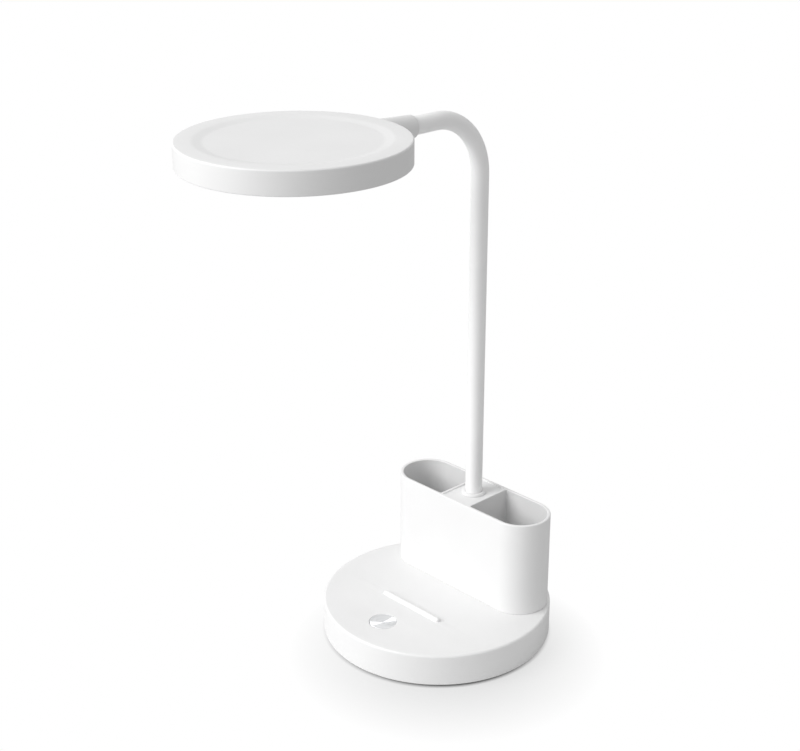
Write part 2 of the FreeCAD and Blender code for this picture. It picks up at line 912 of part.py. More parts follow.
def neck_collar():
    """The soft ring that closes the gap round the neck on top of the column."""
    body = new_body("neck_collar")
    section = sketch_on(body, "XZ_Plane")
    top = column_top + d.collar_height
    inner = neck_bore_in_parts
    outline(
        section,
        [
            (inner, column_top),
            (collar_radius, column_top),
            (collar_radius, top - 0.5 * d.collar_height),
            (collar_radius - 0.25 * d.collar_height, top - 0.12 * d.collar_height),
            (collar_radius - 0.6 * d.collar_height, top),
            (inner, top),
        ],
    )
    spin(body, section)
    place(body, y=neck_y)


# ---------------------------------------------------------------- the neck


class Spot:
    """A place on the neck's middle line. turn is the angle through which the line has bent forwards."""

    def __init__(self, y, z, turn):
        self.y = y
        self.z = z
        self.turn = turn

    def beyond(self, distance):
        """The spot that lies this far on along the tangent."""
        angle = math.radians(self.turn)
        return Spot(
            self.y - distance * math.sin(angle), self.z + distance * math.cos(angle), self.turn
        )

    def place(self, solid):
        return place(solid, 0, self.y, self.z, Rotation(Vector(1, 0, 0), self.turn))


def neck_joints():
    """The bend points: up the straight part of the neck, then round the arch."""
    spots = [Spot(neck_y, first_bend + number * lower_pitch, 0) for number in range(LOWER_LINKS)]
    for number in range(ARCH_LINKS + 1):
        angle = math.radians(ARCH_STEP * number)
        y = arch_y + d.bend_radius * math.cos(angle)
        z = arch_low + d.bend_radius * math.sin(angle)
        spots.append(Spot(y, z, ARCH_STEP * number))
    return spots


def straight(spot, radius, length):
    return spot.place(primitive("Cylinder", Radius=radius, Height=length))


def curved(spot, radius, shortfall):
    """One step of the arch from this spot, short of its end by shortfall."""
    tube = primitive(
        "Torus",
        Radius1=d.bend_radius,
        Radius2=radius,
        Angle3=ARCH_STEP - math.degrees(1) * shortfall / d.bend_radius,
    )
    upright = Rotation(Vector(1, 1, 1), 120)
    return place(tube, 0, arch_y, arch_low, Rotation(Vector(1, 0, 0), spot.turn) * upright)


def stretch(spot, radius, length, is_arch, shortfall=0):
    """A round bar along the neck from this spot, straight or round the arch."""
    if is_arch:
        return curved(spot, radius, as_size(shortfall))
    return straight(spot, radius, length - shortfall)


def ball(spot):
    """The ball on a link's upper end, with its stem, seen from the next bend point."""
    below = spot.beyond(-(d.shoulder_drop + d.socket_wall))
    stem = straight(below, stem_radius, d.shoulder_drop + d.socket_wall)
    knob = primitive("Sphere", Radius=ball_radius, Angle2=BALL_CUT_ANGLE)
    return [stem, spot.place(knob)]


def flare(spot):
    """The funnel in a ball's mouth that lets the wires turn. It starts just below the bend point."""
    below = spot.beyond(-d.wire_gap / 2)
    return below.place(
        primitive(
            "Cone",
            Radius1=d.bore_radius + d.fit_gap,
            Radius2=d.flare_radius + d.fit_gap,
            Height=ball_radius,
        )
    )


def socket(spot):
    """The hollow in a link's lower end that turns on the ball below it: a straight bore as deep as
    the ball stands up when it is turned, and a round lip that holds the ball in."""
    lip = spot.place(primitive("Sphere", Radius=ball_socket, Angle2=0))
    return joined(lip, straight(spot, ball_socket, d.socket_depth))


def neck_link(number, start, end, length, is_arch):
    """One steel link of the gooseneck: socket, barrel, stem and ball, bored for the wires."""
    barrel = [stretch(start, d.core_radius, length, is_arch, d.shoulder_drop)]
    barrel.append(straight(start.beyond(-d.socket_rim), d.core_radius, d.socket_rim))
    whole = joined(*barrel, *ball(end))
    bore = stretch(start, d.bore_radius, length + d.fit_gap, is_arch)
    subpart(less(whole, bore, flare(end), socket(start)), f"neck_link_{number}")


def neck_sleeve(number, start, length, is_arch):
    """One length of the silicone sleeve, from bend point to bend point."""
    outer = stretch(start, sleeve_radius, length, is_arch)
    inner = stretch(start, sleeve_bore, length, is_arch)
    subpart(less(outer, inner), f"neck_sleeve_{number}")


def neck_wire(number, start, length, is_arch):
    wire = stretch(start, d.wire_radius, length, is_arch, d.wire_gap)
    subpart(wire, f"neck_wire_{number}")


def neck():
    joints = neck_joints()

    # the fixed foot, in the ferrule
    cup_floor = deck_top + d.ferrule_flange_height + d.ferrule_cup_height - d.ferrule_cup_depth
    foot = Spot(neck_y, cup_floor, 0)
    foot_bar = straight(foot, d.core_radius, first_bend - d.shoulder_drop - cup_floor)
    foot_bore = straight(foot, d.bore_radius, first_bend - cup_floor)
    foot_link = less(joined(foot_bar, *ball(joints[0])), foot_bore, flare(joints[0]))
    subpart(foot_link, "neck_link_0")
    cup_mouth = Spot(neck_y, cup_floor + d.ferrule_cup_depth, 0)
    neck_sleeve(0, cup_mouth, first_bend - cup_mouth.z, False)
    wire_low = Spot(neck_y, deck_top - d.thread_length, 0)
    neck_wire(0, wire_low, first_bend - wire_low.z, False)

    for number, (start, end) in enumerate(zip(joints, joints[1:]), start=1):
        is_arch = number > LOWER_LINKS
        neck_link(number, start, end, lower_pitch, is_arch)
        neck_sleeve(number, start, lower_pitch, is_arch)
        neck_wire(number, start, lower_pitch, is_arch)

    # the last link runs level into the head's boss
    number = len(joints)
    last = joints[-1]
    core_length = last.y - core_end_y
    rim = straight(last.beyond(-d.socket_rim), d.core_radius, d.socket_rim + core_length)
    bore = straight(last, d.bore_radius, core_length)
    subpart(less(rim, bore, socket(last)), f"neck_link_{number}")
    neck_sleeve(number, last, last.y - sleeve_end_y, False)
    neck_wire(number, last, last.y - tang_end_y, False)


def neck_ferrule():
    """The brass foot of the gooseneck: a cup for the core, a flange on the deck, a threaded stub."""
    body = new_body("neck_ferrule")
    section = sketch_on(body, "XZ_Plane")
    flange_top = deck_top + d.ferrule_flange_height
    cup_top = flange_top + d.ferrule_cup_height
    cup_floor = cup_top - d.ferrule_cup_depth
    wire_way = d.bore_radius + d.fit_gap
    outline(
        section,
        [
            (wire_way, deck_top - d.thread_length),
            (d.thread_radius, deck_top - d.thread_length),
            (d.thread_radius, deck_top),
            (flange_radius, deck_top),
            (flange_radius, flange_top),
            (sleeve_radius, flange_top),
            (sleeve_radius, cup_top),
            (sleeve_bore, cup_top),
            (sleeve_bore, cup_floor),
            (wire_way, cup_floor),
        ],
    )
    spin(body, section)
    place(body, y=neck_y)


def neck_nut():
    """The hexagon nut that clamps the ferrule from inside the base."""
    body = new_body("neck_nut")
    plan = sketch_on(body, "XY_Plane", deck_under - d.nut_height)
    corner = d.nut_flats / math.sqrt(3)
    turns = [math.radians(60 * number) for number in range(6)]
    outline(plan, [(corner * math.cos(turn), corner * math.sin(turn)) for turn in turns])
    circle(plan, 0, 0, d.thread_radius + d.screw_gap)
    pad(body, plan, d.nut_height)
    place(body, y=neck_y)


# ---------------------------------------------------------------- the head


def head_shell():
    """The white head: a shallow dish on top, a rim wall, and a boss for the neck in one moulding."""
    body = new_body("head_shell")
    thickness = d.head_thickness
    boss_axis = d.neck_run_height - head_low
    boss_tip = boss_tip_y - head_y
    boss_root = head_inner
    section = sketch_on(body, "XZ_Plane")
    outline(
        section,
        [
            (0, thickness - d.dish_depth),
            (0, 0),
            (d.head_radius, 0),
            (d.head_radius, thickness),
            (dish_radius, thickness),
            (dish_radius - d.dish_slope, thickness - d.dish_depth),
        ],
    )
    spin(body, section)
    round_edges(
        body,
        d.dish_round,
        lambda edge: edge.BoundBox.XLength < 2 * dish_radius.value + 1
        and (level(edge, thickness) or level(edge, thickness - d.dish_depth)),
    )
    round_edges(
        body,
        d.head_edge_round,
        lambda edge: level(edge, thickness) and edge.BoundBox.XLength > 2 * dish_radius.value + 1,
    )

    # the boss climbs a little from its tip to the middle of the wall
    tip_height = boss_axis - d.boss_tip_drop
    tip = sketch_on(body, "XZ_Plane", -boss_tip)
    bind(tip, "AttachmentOffset.Base.y", tip_height)
    climb = f"atan({(thickness / 2 - tip_height).formula} / {(boss_tip - boss_root).formula})"
    tip.setExpression("AttachmentOffset.Rotation.Angle", f"0deg - {climb}")
    tip.setExpression("AttachmentOffset.Rotation.Axis.x", "1")
    tip.setExpression("AttachmentOffset.Rotation.Axis.z", "0")
    circle(tip, 0, 0, boss_radius)
    pad(body, tip, boss_tip - boss_root)
    round_edges(
        body,
        d.boss_round,
        lambda edge: edge.BoundBox.YMin > (boss_tip - boss_radius / 2).value
        and edge.BoundBox.XLength > boss_radius.value,
    )

    cavity = sketch_on(body, "XZ_Plane")
    ceiling = thickness - d.head_wall
    outline(
        cavity,
        [
            (0, 0),
            (head_inner, 0),
            (head_inner, ceiling),
            (dish_radius, ceiling),
            (dish_radius - d.dish_slope, ceiling - d.dish_depth),
            (0, ceiling - d.dish_depth),
        ],
    )
    spin(body, cavity, "Groove")

    bores = (
        (boss_tip + d.boss_round, d.sleeve_entry + d.boss_round, neck_bore_in_parts),
        (sleeve_end_y - head_y, d.cup_length, cup_radius + d.fit_gap),
        (cup_end_y - head_y, cup_end_y - wall_inside_y + d.head_wall, d.tang_radius + d.fit_gap),
    )
    for start, length, radius in bores:
        bore = sketch_on(body, "XZ_Plane", -start)
        circle(bore, 0, boss_axis, radius)
        cut(body, bore, length)

    board_level = led_board_top - head_low
    posts = sketch_on(body, "XY_Plane", board_level)
    pilots = sketch_on(body, "XY_Plane", board_level)
    for x, y in led_spots():
        circle(posts, x, y, d.led_post_radius)
        circle(pilots, x, y, small_hole)
    pad(body, posts, d.led_board_drop + d.head_wall / 2)
    cut(body, pilots, small_screw_reach())
    place(body, y=head_y, z=head_low)


def led_spots():
    """Where the LED board is screwed, round the middle of the head."""
    turns = [math.radians(90 + 360 * number / LED_POSTS + 60) for number in range(LED_POSTS)]
    return [(led_post_circle * math.cos(t), led_post_circle * math.sin(t)) for t in turns]


def small_screw_reach():
    """How far a small screw goes past the board into its post."""
    return d.led_board_drop + 0.6 * d.head_wall


def led_board():
    """The aluminium disc that carries the LEDs, notched at the rear for the lead."""
    body = new_body("led_board")
    plan = sketch_on(body, "XY_Plane", led_board_low - head_low)
    circle(plan, 0, 0, led_board_radius)
    for x, y in led_spots():
        circle(plan, x, y, small_hole)
    pad(body, plan, d.board_thickness)
    notch = sketch_on(body, "XY_Plane", led_board_low - head_low)
    notch_low = led_board_radius - d.led_board_notch
    rectangle(notch, -d.tang_radius, notch_low, d.tang_radius, led_board_radius + 1)
    cut(body, notch, d.board_thickness)
    place(body, y=head_y, z=head_low)


def led_chips():
    """The LEDs, in two rings under the board."""
    chips = []
    low = led_board_low - d.chip_height
    for circle_radius, count in (
        (outer_chip_circle, OUTER_CHIPS),
        (inner_chip_circle, INNER_CHIPS),
    ):
        for number in range(count):
            turn = math.radians(360 * (number + 0.5) / count)
            chip = primitive("Box", Length=d.chip_length, Width=d.chip_width, Height=d.chip_height)
            reach = circle_radius - d.chip_length / 2
            side = d.chip_width / 2
            x = reach * math.cos(turn) + side * math.sin(turn)
            y = head_y + reach * math.sin(turn) - side * math.cos(turn)
            chips.append(place(chip, x, y, low, Rotation(Vector(0, 0, 1), math.degrees(turn))))
    subpart(group(*chips), "led_chips")


def led_screws():
    screws = []
    for x, y in led_spots():
        screws.append(
            screw(
                x,
                head_y + y,
                led_board_low - d.small_head_height,
                d.small_screw_radius,
                d.board_thickness + small_screw_reach() - d.screw_gap,
                d.small_head_radius,
                d.small_head_height,
            )
        )
    subpart(group(*screws), "led_screws")


def reflector():
    """The white cone that throws stray light down between the LED board and the diffuser."""
    body = new_body("reflector")
    section = sketch_on(body, "XZ_Plane")
    low = diffuser_top - head_low
    high = led_board_low - head_low
    wide = diffuser_radius - d.fit_gap
    narrow = led_board_radius - d.reflector_wall
    outline(
        section,
        [
            (wide - d.reflector_wall, low),
            (wide, low),
            (wide, low + d.reflector_wall),
            (narrow + d.reflector_wall, high),
            (narrow - d.reflector_wall, high),
        ],
    )
    spin(body, section)
    notch = sketch_on(body, "XY_Plane", low)
    half_width = d.clip_width / 2 + 4 * d.fit_gap
    rectangle(notch, -half_width, 0, half_width, wide + 1)
    cut(body, notch, high - low)
    place(body, y=head_y, z=head_low)


def diffuser():
    """The opal plate that the light shines through."""
    body = new_body("diffuser")
    plan = sketch_on(body, "XY_Plane", diffuser_low)
    circle(plan, 0, 0, diffuser_radius)
    pad(body, plan, d.diffuser_thickness)
    place(body, y=head_y)


def diffuser_ring():
    """The ring that snaps into the head and holds the diffuser up."""
    body = new_body("diffuser_ring")
    section = sketch_on(body, "XZ_Plane")
    inner = ring_radius - d.ring_wall
    outline(
        section,
        [
            (ring_radius - d.ring_flange, ring_low),
            (ring_radius, ring_low),
            (ring_radius, diffuser_top),
            (inner, diffuser_top),
            (inner, diffuser_low),
            (ring_radius - d.ring_flange, diffuser_low),
        ],
    )
    spin(body, section)
    place(body, y=head_y)


def head_ferrule():
    """The brass end of the gooseneck: a cup for the core and a grooved tang that enters the head."""
    body = new_body("head_ferrule")
    section = sketch_on(body, "XZ_Plane")
    wire_way = d.bore_radius
    mouth = 0
    cup_floor = d.cup_hold
    cup_end = d.cup_length - d.fit_gap
    tang_end = sleeve_end_y - tang_end_y
    groove = sleeve_end_y - clip_y
    outline(
        section,
        [
            (sleeve_bore, mouth),
            (cup_radius, mouth),
            (cup_radius, cup_end),
            (d.tang_radius, cup_end),
            (d.tang_radius, groove),
            (d.tang_radius - d.tang_groove, groove),
            (d.tang_radius - d.tang_groove, groove + d.clip_thickness + d.fit_gap),
            (d.tang_radius, groove + d.clip_thickness + d.fit_gap),
            (d.tang_radius, tang_end),
            (wire_way, tang_end),
            (wire_way, cup_floor),
            (sleeve_bore, cup_floor),
        ],
    )
    spin(body, section)
    place(body, 0, sleeve_end_y, d.neck_run_height, TURN_TO_FRONT)


def head_clip():
    """The steel plate that drops over the tang's groove inside the head, so it can't pull out."""
    body = new_body("head_clip")
    low = d.neck_run_height - d.tang_radius
    top = rim_ceiling - 4 * d.fit_gap
    half_width = d.clip_width / 2
    slot_radius = d.tang_radius - d.tang_groove + d.fit_gap
    start = clip_y - d.fit_gap / 2
    plate = sketch_on(body, "XZ_Plane", -start)
    rectangle(plate, -half_width, low, half_width, top)
    pad(body, plate, d.clip_thickness)
    slot = sketch_on(body, "XZ_Plane", -start)
    circle(slot, 0, d.neck_run_height, slot_radius)
    cut(body, slot, d.clip_thickness)
    mouth = sketch_on(body, "XZ_Plane", -start)
    rectangle(mouth, -slot_radius, low - 1, slot_radius, d.neck_run_height)
    cut(body, mouth, d.clip_thickness)


def head_lead():
    """The lead from the neck up through the board's notch to its top."""
    lies_at = led_board_top + d.lead_radius + d.lead_gap
    notch_y = head_y + led_board_radius - d.led_board_notch
    lead(
        "head_lead",
        [
            (0, tang_end_y, d.neck_run_height),
            (0, tang_end_y - 4 * d.lead_radius, d.neck_run_height),
            (0, notch_y + 3 * d.lead_radius, lies_at),
            (0, notch_y - 10 * d.lead_radius, lies_at),
        ],
        d.lead_radius,
    )


# ---------------------------------------------------------------- build and write

for make in (
    base_shell,
    bottom_cover,
    antislip_pad,
    ballast_plate,
    base_screws,
    touch_key,
    touch_contact,
    touch_board,
    charge_board,
    board_screws,
    usb_inlet,
    battery_pack,
    base_leads,
    pen_pot,
    neck_collar,
    neck_ferrule,
    neck_nut,
    neck,
    head_shell,
    led_board,
    led_chips,
    led_screws,
    reflector,
    diffuser,
    diffuser_ring,
    head_ferrule,
    head_clip,
    head_lead,
):
    make()

doc.recompute()

failed = [o.Label for o in doc.Objects if "Invalid" in o.State or "Error" in o.State]
if failed:
    raise RuntimeError(f"these objects failed to compute: {failed}")
for step in doc.Objects:
    if step.TypeId in ("PartDesign::Pocket", "PartDesign::Groove"):
        if step.Shape.Volume > step.BaseFeature.Shape.Volume - 0.01:
            raise RuntimeError(f"{step.Label} cuts nothing")

os.makedirs("parts", exist_ok=True)
for part in SUBPARTS:
    if part.Shape.isNull() or not part.Shape.isValid() or not part.Shape.Solids:
        raise RuntimeError(f"{part.Label} has no valid solid")
for part in SUBPARTS:
    part.Shape.exportStep(f"parts/{part.Label}.step")
print(f"{len(SUBPARTS)} sub-parts written")
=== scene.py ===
import json
import math

import bmesh
import bpy
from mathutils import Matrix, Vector
from mathutils.geometry import tessellate_polygon

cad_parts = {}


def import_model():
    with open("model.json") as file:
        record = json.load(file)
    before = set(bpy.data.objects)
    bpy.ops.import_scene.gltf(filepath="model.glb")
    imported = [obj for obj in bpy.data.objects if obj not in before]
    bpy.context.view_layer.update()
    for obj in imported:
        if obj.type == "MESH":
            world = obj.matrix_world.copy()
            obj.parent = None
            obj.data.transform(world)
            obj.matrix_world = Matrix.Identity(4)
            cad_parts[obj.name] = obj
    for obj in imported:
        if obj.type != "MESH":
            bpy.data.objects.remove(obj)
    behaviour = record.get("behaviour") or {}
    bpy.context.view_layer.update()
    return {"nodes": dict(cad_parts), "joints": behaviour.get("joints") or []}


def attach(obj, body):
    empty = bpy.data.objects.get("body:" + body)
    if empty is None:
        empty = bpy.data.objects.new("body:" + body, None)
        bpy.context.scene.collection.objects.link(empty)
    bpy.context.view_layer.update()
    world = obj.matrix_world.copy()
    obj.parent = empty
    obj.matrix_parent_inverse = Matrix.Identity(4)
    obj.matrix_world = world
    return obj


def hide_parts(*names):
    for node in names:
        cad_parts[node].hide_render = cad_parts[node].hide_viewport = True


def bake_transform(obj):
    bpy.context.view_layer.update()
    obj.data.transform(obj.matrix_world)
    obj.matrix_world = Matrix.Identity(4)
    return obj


# A white desk lamp: a round base with a touch key and a phone ledge, a pen pot with two
# compartments, a gooseneck in a silicone sleeve, and a flat round head. The frame gives the solid
# pieces. Here the ones that show are made again with the soft edges, smooth curves and finishes of
# the real lamp. Sizes are in millimetres, and become metres where a mesh is made.

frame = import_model()

MM = 0.001

# ---------------------------------------------------------------- sizes, as the solids have them

BASE_RADIUS = 70.0
BASE_WALL = 2.2
HOUSING_LOW = 1.2
DECK_TOP = 21.0
DECK_UNDER = 19.0
PAD_RADIUS = 65.0
PAD_TOP = 1.4
LEDGE_LENGTH = 48.0
LEDGE_WIDTH = 3.0
LEDGE_HEIGHT = 2.2
LEDGE_Y = -22.0
LEDGE_FILLET = 0.4
LEDGE_CROWN = 1.45
KEY_Y = -45.8
KEY_RADIUS = 8.2
KEY_GAP = 0.15
KEY_TOP = 20.925
KEY_THICKNESS = 1.2
KEY_DISH = 0.7
KEY_FACE = 7.3
SEAT_WALL = 2.0
SEAT_LOW = 15.8
USB_MIDDLE = 11.08
USB_WIDTH = 8.94
USB_HEIGHT = 3.26
SLOT_GAP = 0.35

POT_Y = 31.5
POT_LENGTH = 114.3
POT_WIDTH = 36.5
POT_RIM = 81.6
POT_WALL = 2.0
POT_CORNER = 0.8
COVE = 0.75
COLUMN_HALF = 12.5
COLUMN_INNER = 10.8
COLUMN_TOP = 80.8
COLUMN_CEILING = 78.8
NECK_HOLE = 5.25
COLLAR_RADIUS = 7.5
COLLAR_HEIGHT = 1.7

SLEEVE_RADIUS = 5.15
SLEEVE_WALL = 0.6
SLEEVE_LOW = 42.0
CLOSE = 0.001
BEND_RADIUS = 36.6
RUN_HEIGHT = 320.0
ARCH_LOW = RUN_HEIGHT - BEND_RADIUS
ARCH_Y = POT_Y - BEND_RADIUS
SLEEVE_END_Y = -28.0

HEAD_Y = -105.5
HEAD_RADIUS = 60.7
HEAD_LOW = 314.8
HEAD_TOP = 327.9
HEAD_WALL = 2.0
DISH_RADIUS = 51.0
DISH_SLOPE = 5.0
DISH_DEPTH = 0.9
BOSS_RADIUS = 6.5
BOSS_TIP_Y = -22.8
BOSS_ROOT_Y = -46.3
BOSS_ROUND = 1.1
CUP_HOLE = 5.0
CUP_DEPTH = 10.0
TANG_HOLE = 2.9
RING_RADIUS = 58.6
RING_WALL = 0.9
RING_WIDTH = 3.4


# ---------------------------------------------------------------- outlines


def rounded(corners, closed=False, step=7.5):
    """A run of points through corners given as (x, y, radius), with an arc at each round corner."""
    count = len(corners)
    points = []
    for number, (x, y, radius) in enumerate(corners):
        if radius <= 0 or (not closed and number in (0, count - 1)):
            points.append((x, y))
            continue
        here = Vector((x, y))
        before = Vector(corners[number - 1][:2]) - here
        after = Vector(corners[(number + 1) % count][:2]) - here
        before.normalize()
        after.normalize()
        half = before.angle(after) / 2
        centre = here + (before + after).normalized() * radius / math.sin(half)
        first = here + before * radius / math.tan(half) - centre
        turn = first.angle_signed(here + after * radius / math.tan(half) - centre)
        arcs = max(2, round(abs(math.degrees(turn)) / step))
        for part in range(arcs + 1):
            angle = -turn * part / arcs
            cos, sin = math.cos(angle), math.sin(angle)
            spoke = Vector((first.x * cos - first.y * sin, first.x * sin + first.y * cos))
            points.append(tuple(centre + spoke))
    return points


def plan(left, front, right, back, radii, grow=0.0, steps=24):
    """A rectangle seen from above with its four corners rounded, grown outwards by grow."""
    corners = (
        (right, front, radii[0], -90, -1, 1),
        (right, back, radii[1], 0, -1, -1),
        (left, back, radii[2], 90, 1, -1),
        (left, front, radii[3], 180, 1, 1),
    )
    points = []
    for x, y, radius, start, inwards_x, inwards_y in corners:
        centre_x, centre_y = x + inwards_x * radius, y + inwards_y * radius
        for part in range(steps + 1):
            angle = math.radians(start + 90 * part / steps)
            reach = radius + grow
            points.append((centre_x + reach * math.cos(angle), centre_y + reach * math.sin(angle)))
    return points


def round_plan(x, y, radius, sides=96):
    """A circle seen from above."""
    turns = [2 * math.pi * number / sides for number in range(sides)]
    return [(x + radius * math.cos(turn), y + radius * math.sin(turn)) for turn in turns]


def quarter(radius, steps=6):
    """Pairs (inwards, down) round an edge of this radius, from the flat top to the upright side."""
    return [(radius * (1 - math.sin(a)), radius * (1 - math.cos(a))) for a in angles(steps)]


def angles(steps):
    """Angles from 0 to a quarter turn."""
    return [math.radians(90 * part / steps) for part in range(steps + 1)]


# ---------------------------------------------------------------- meshes


class Skin:
    """A closed skin put together from rings of points."""

    def __init__(self):
        self.points = []
        self.faces = []

    def loop(self, points):
        """A ring through these points."""
        first = len(self.points)
        self.points += points
        return list(range(first, len(self.points)))

    def ring(self, outline, height):
        """A level ring, from its outline seen from above."""
        return self.loop([(x, y, height) for x, y in outline])

    def band(self, one, other):
        """The faces between two rings of equal count."""
        for number in range(len(one)):
            after = (number + 1) % len(one)
            self.faces.append((one[number], one[after], other[after], other[number]))

    def bands(self, rings):
        """The faces between rings that follow one another."""
        for one, other in zip(rings, rings[1:]):
            self.band(one, other)

    def enclose(self, rings):
        """The faces between rings that follow one another, and a lid at each end."""
        self.bands(rings)
        self.lid(rings[0])
        self.lid(rings[-1])

    def wall(self, outlines_heights):
        """A wall through level rings, each given as (outline, height), and the rings."""
        rings = [self.ring(outline, height) for outline, height in outlines_heights]
        self.bands(rings)
        return rings

    def lid(self, outer, *holes):
        """A flat face inside the outer ring and round the holes."""
        loops = [outer, *holes]
        order = [index for loop in loops for index in loop]
        shapes = [[Vector(self.points[index]) for index in loop] for loop in loops]
        for corners in tessellate_polygon(shapes):
            self.faces.append(tuple(order[corner] for corner in corners))

    def piece(self, name):
        """The skin as an object of its own."""
        mesh = bpy.data.meshes.new(name)
        mesh.from_pydata([Vector(point) * MM for point in self.points], [], self.faces)
        return finish_mesh(mesh, name)


WELD = 1e-7
NO_LENGTH = 1e-8
ON_AXIS = 1e-6
SHARP_EDGE = math.radians(35)


def put(name, data):
    """A new object in the scene."""
    made = bpy.data.objects.new(name, data)
    bpy.context.scene.collection.objects.link(made)
    return made


def finish_mesh(mesh, name):
    """Merges what coincides, turns the faces outwards, and shades it smooth up to a sharp edge."""
    work = bmesh.new()
    work.from_mesh(mesh)
    bmesh.ops.remove_doubles(work, verts=work.verts, dist=WELD)
    bmesh.ops.dissolve_degenerate(work, edges=work.edges, dist=NO_LENGTH)
    bmesh.ops.recalc_face_normals(work, faces=work.faces)
    work.to_mesh(mesh)
    work.free()
    mesh.shade_smooth()
    mesh.set_sharp_from_angle(angle=SHARP_EDGE)
    return put(name, mesh)


def lathe(name, section, x=0.0, y=0.0, sides=192, along="z"):
    """Turns a closed half section, given as (radius, height), once round an upright line at x, y.
    Along "y" the line lies level instead, and x, y are its x and its height."""
    points = []
    faces = []
    rows = []
    for radius, height in section:
        row = []
        if radius < ON_AXIS:
            row = [len(points)] * sides
            points.append((0.0, 0.0, height))
        else:
            for number in range(sides):
                turn = 2 * math.pi * number / sides
                row.append(len(points))
                points.append((radius * math.cos(turn), radius * math.sin(turn), height))
        rows.append(row)
    for one, other in zip(rows, rows[1:] + rows[:1]):
        for number in range(sides):
            after = (number + 1) % sides
            corners = []
            for index in (one[number], one[after], other[after], other[number]):
                if index not in corners:
                    corners.append(index)
            if len(corners) > 2:
                faces.append(tuple(corners))
    if along == "y":
        placed = [Vector((x + px, height, y + py)) for px, py, height in points]
    else:
        placed = [Vector((x + px, y + py, height)) for px, py, height in points]
    mesh = bpy.data.meshes.new(name)
    mesh.from_pydata([point * MM for point in placed], [], faces)
    return finish_mesh(mesh, name)


def carve(piece, tool, operation):
    """Joins the tool to the piece or cuts it out, and removes the tool."""
    change = piece.modifiers.new("carve", "BOOLEAN")
    change.operation = operation
    change.object = tool
    change.solver = "EXACT"
    settle(piece)
    bpy.data.objects.remove(tool)
    return piece


def settle(piece):
    """Turns the piece's modifiers into its own plain mesh."""
    bpy.context.view_layer.update()
    seen = piece.evaluated_get(bpy.context.evaluated_depsgraph_get())
    mesh = bpy.data.meshes.new_from_object(seen)
    piece.modifiers.clear()
    piece.data = mesh
    mesh.name = piece.name
    kept = [number for number, material in enumerate(mesh.materials) if material]
    if kept:
        numbers = [kept.index(face.material_index) for face in mesh.polygons]
        materials = [mesh.materials[number] for number in kept]
        mesh.materials.clear()
        for material in materials:
            mesh.materials.append(material)
        mesh.polygons.foreach_set("material_index", numbers)
    mesh.shade_smooth()
    mesh.set_sharp_from_angle(angle=SHARP_EDGE)
    return piece


# ---------------------------------------------------------------- finishes


def linear(hex_colour):
    """An sRGB hex colour as linear red, green, blue and alpha."""
    channels = [int(hex_colour[start : start + 2], 16) / 255 for start in (1, 3, 5)]
    straight = [c / 12.92 if c <= 0.04045 else ((c + 0.055) / 1.055) ** 2.4 for c in channels]
    return (*straight, 1.0)


def add(tree, kind, inputs=None, **settings):
    """Adds a node with its settings. An input is a value, a socket, or a list of sockets."""
    made = tree.nodes.new(kind)
    for name, value in settings.items():
        setattr(made, name, value)
    for name, value in (inputs or {}).items():
        for source in value if isinstance(value, list) else [value]:
            if isinstance(source, bpy.types.NodeSocket):
                tree.links.new(source, made.inputs[name])
            else:
                made.inputs[name].default_value = source
    return made


def finish(name):
    """An empty material: its tree, its main shader and the piece's own coordinates in metres."""
    material = bpy.data.materials.new(name)
    material.use_nodes = True
    tree = material.node_tree
    shader = tree.nodes["Principled BSDF"]
    place = add(tree, "ShaderNodeTexCoord").outputs["Object"]
    return material, tree, shader, place


# The range in which most values of a noise lie, and the phase of a wave texture at one unit.
PATCH_LOW, PATCH_HIGH = 0.3, 0.7
WAVE_PHASE = 20


def per(millimetres):
    """The texture scale at which one feature is this wide, for coordinates in metres."""
    return 1000.0 / millimetres


def tones(tree, place, shader, light, dark, width, soft=2.0):
    """Lets the colour drift between two close tones in patches of this width in millimetres."""
    patches = {"Vector": place, "Scale": per(width), "Detail": soft, "Roughness": 0.5}
    patches = add(tree, "ShaderNodeTexNoise", patches)
    ramp = add(tree, "ShaderNodeValToRGB", {"Fac": patches.outputs["Fac"]})
    ramp.color_ramp.elements[0].position = PATCH_LOW
    ramp.color_ramp.elements[0].color = linear(dark)
    ramp.color_ramp.elements[1].position = PATCH_HIGH
    ramp.color_ramp.elements[1].color = linear(light)
    tree.links.new(ramp.outputs["Color"], shader.inputs["Base Color"])


def gloss(tree, place, shader, low, high, width):
    """Lets the roughness drift between two values in patches of this width in millimetres."""
    patches = {"Vector": place, "Scale": per(width), "Detail": 3.0, "Roughness": 0.6}
    patches = add(tree, "ShaderNodeTexNoise", patches)
    spread = {"Value": patches.outputs["Fac"], "From Min": PATCH_LOW, "From Max": PATCH_HIGH}
    spread = add(tree, "ShaderNodeMapRange", {**spread, "To Min": low, "To Max": high})
    tree.links.new(spread.outputs["Result"], shader.inputs["Roughness"])


def grain(tree, place, shader, width, depth, detail=2.0):
    """A fine grain in the surface, its width and depth in millimetres."""
    bumps = {"Vector": place, "Scale": per(width), "Detail": detail, "Roughness": 0.55}
    bumps = add(tree, "ShaderNodeTexNoise", bumps)
    raised = {"Height": bumps.outputs["Fac"], "Strength": 1.0, "Distance": depth * MM}
    raised = add(tree, "ShaderNodeBump", raised)
    tree.links.new(raised.outputs["Normal"], shader.inputs["Normal"])


def moulded_abs(part, light, dark):
    """ABS, injection moulded in a spark-eroded tool. The eye sees a satin white with a soft broad
    highlight. The real grain is 0.1 mm wide and too fine to show, so it is drawn at 0.6 mm. Each
    part gets its own pair of tones, and the head's are darker than the base's as painted shade."""
    material, tree, shader, place = finish(f"ABS, spark-grained moulding, {part} white")
    tones(tree, place, shader, light, dark, 45)
    gloss(tree, place, shader, 0.40, 0.47, 18)
    grain(tree, place, shader, 0.6, 0.003)
    shader.inputs["IOR"].default_value = 1.53
    return material


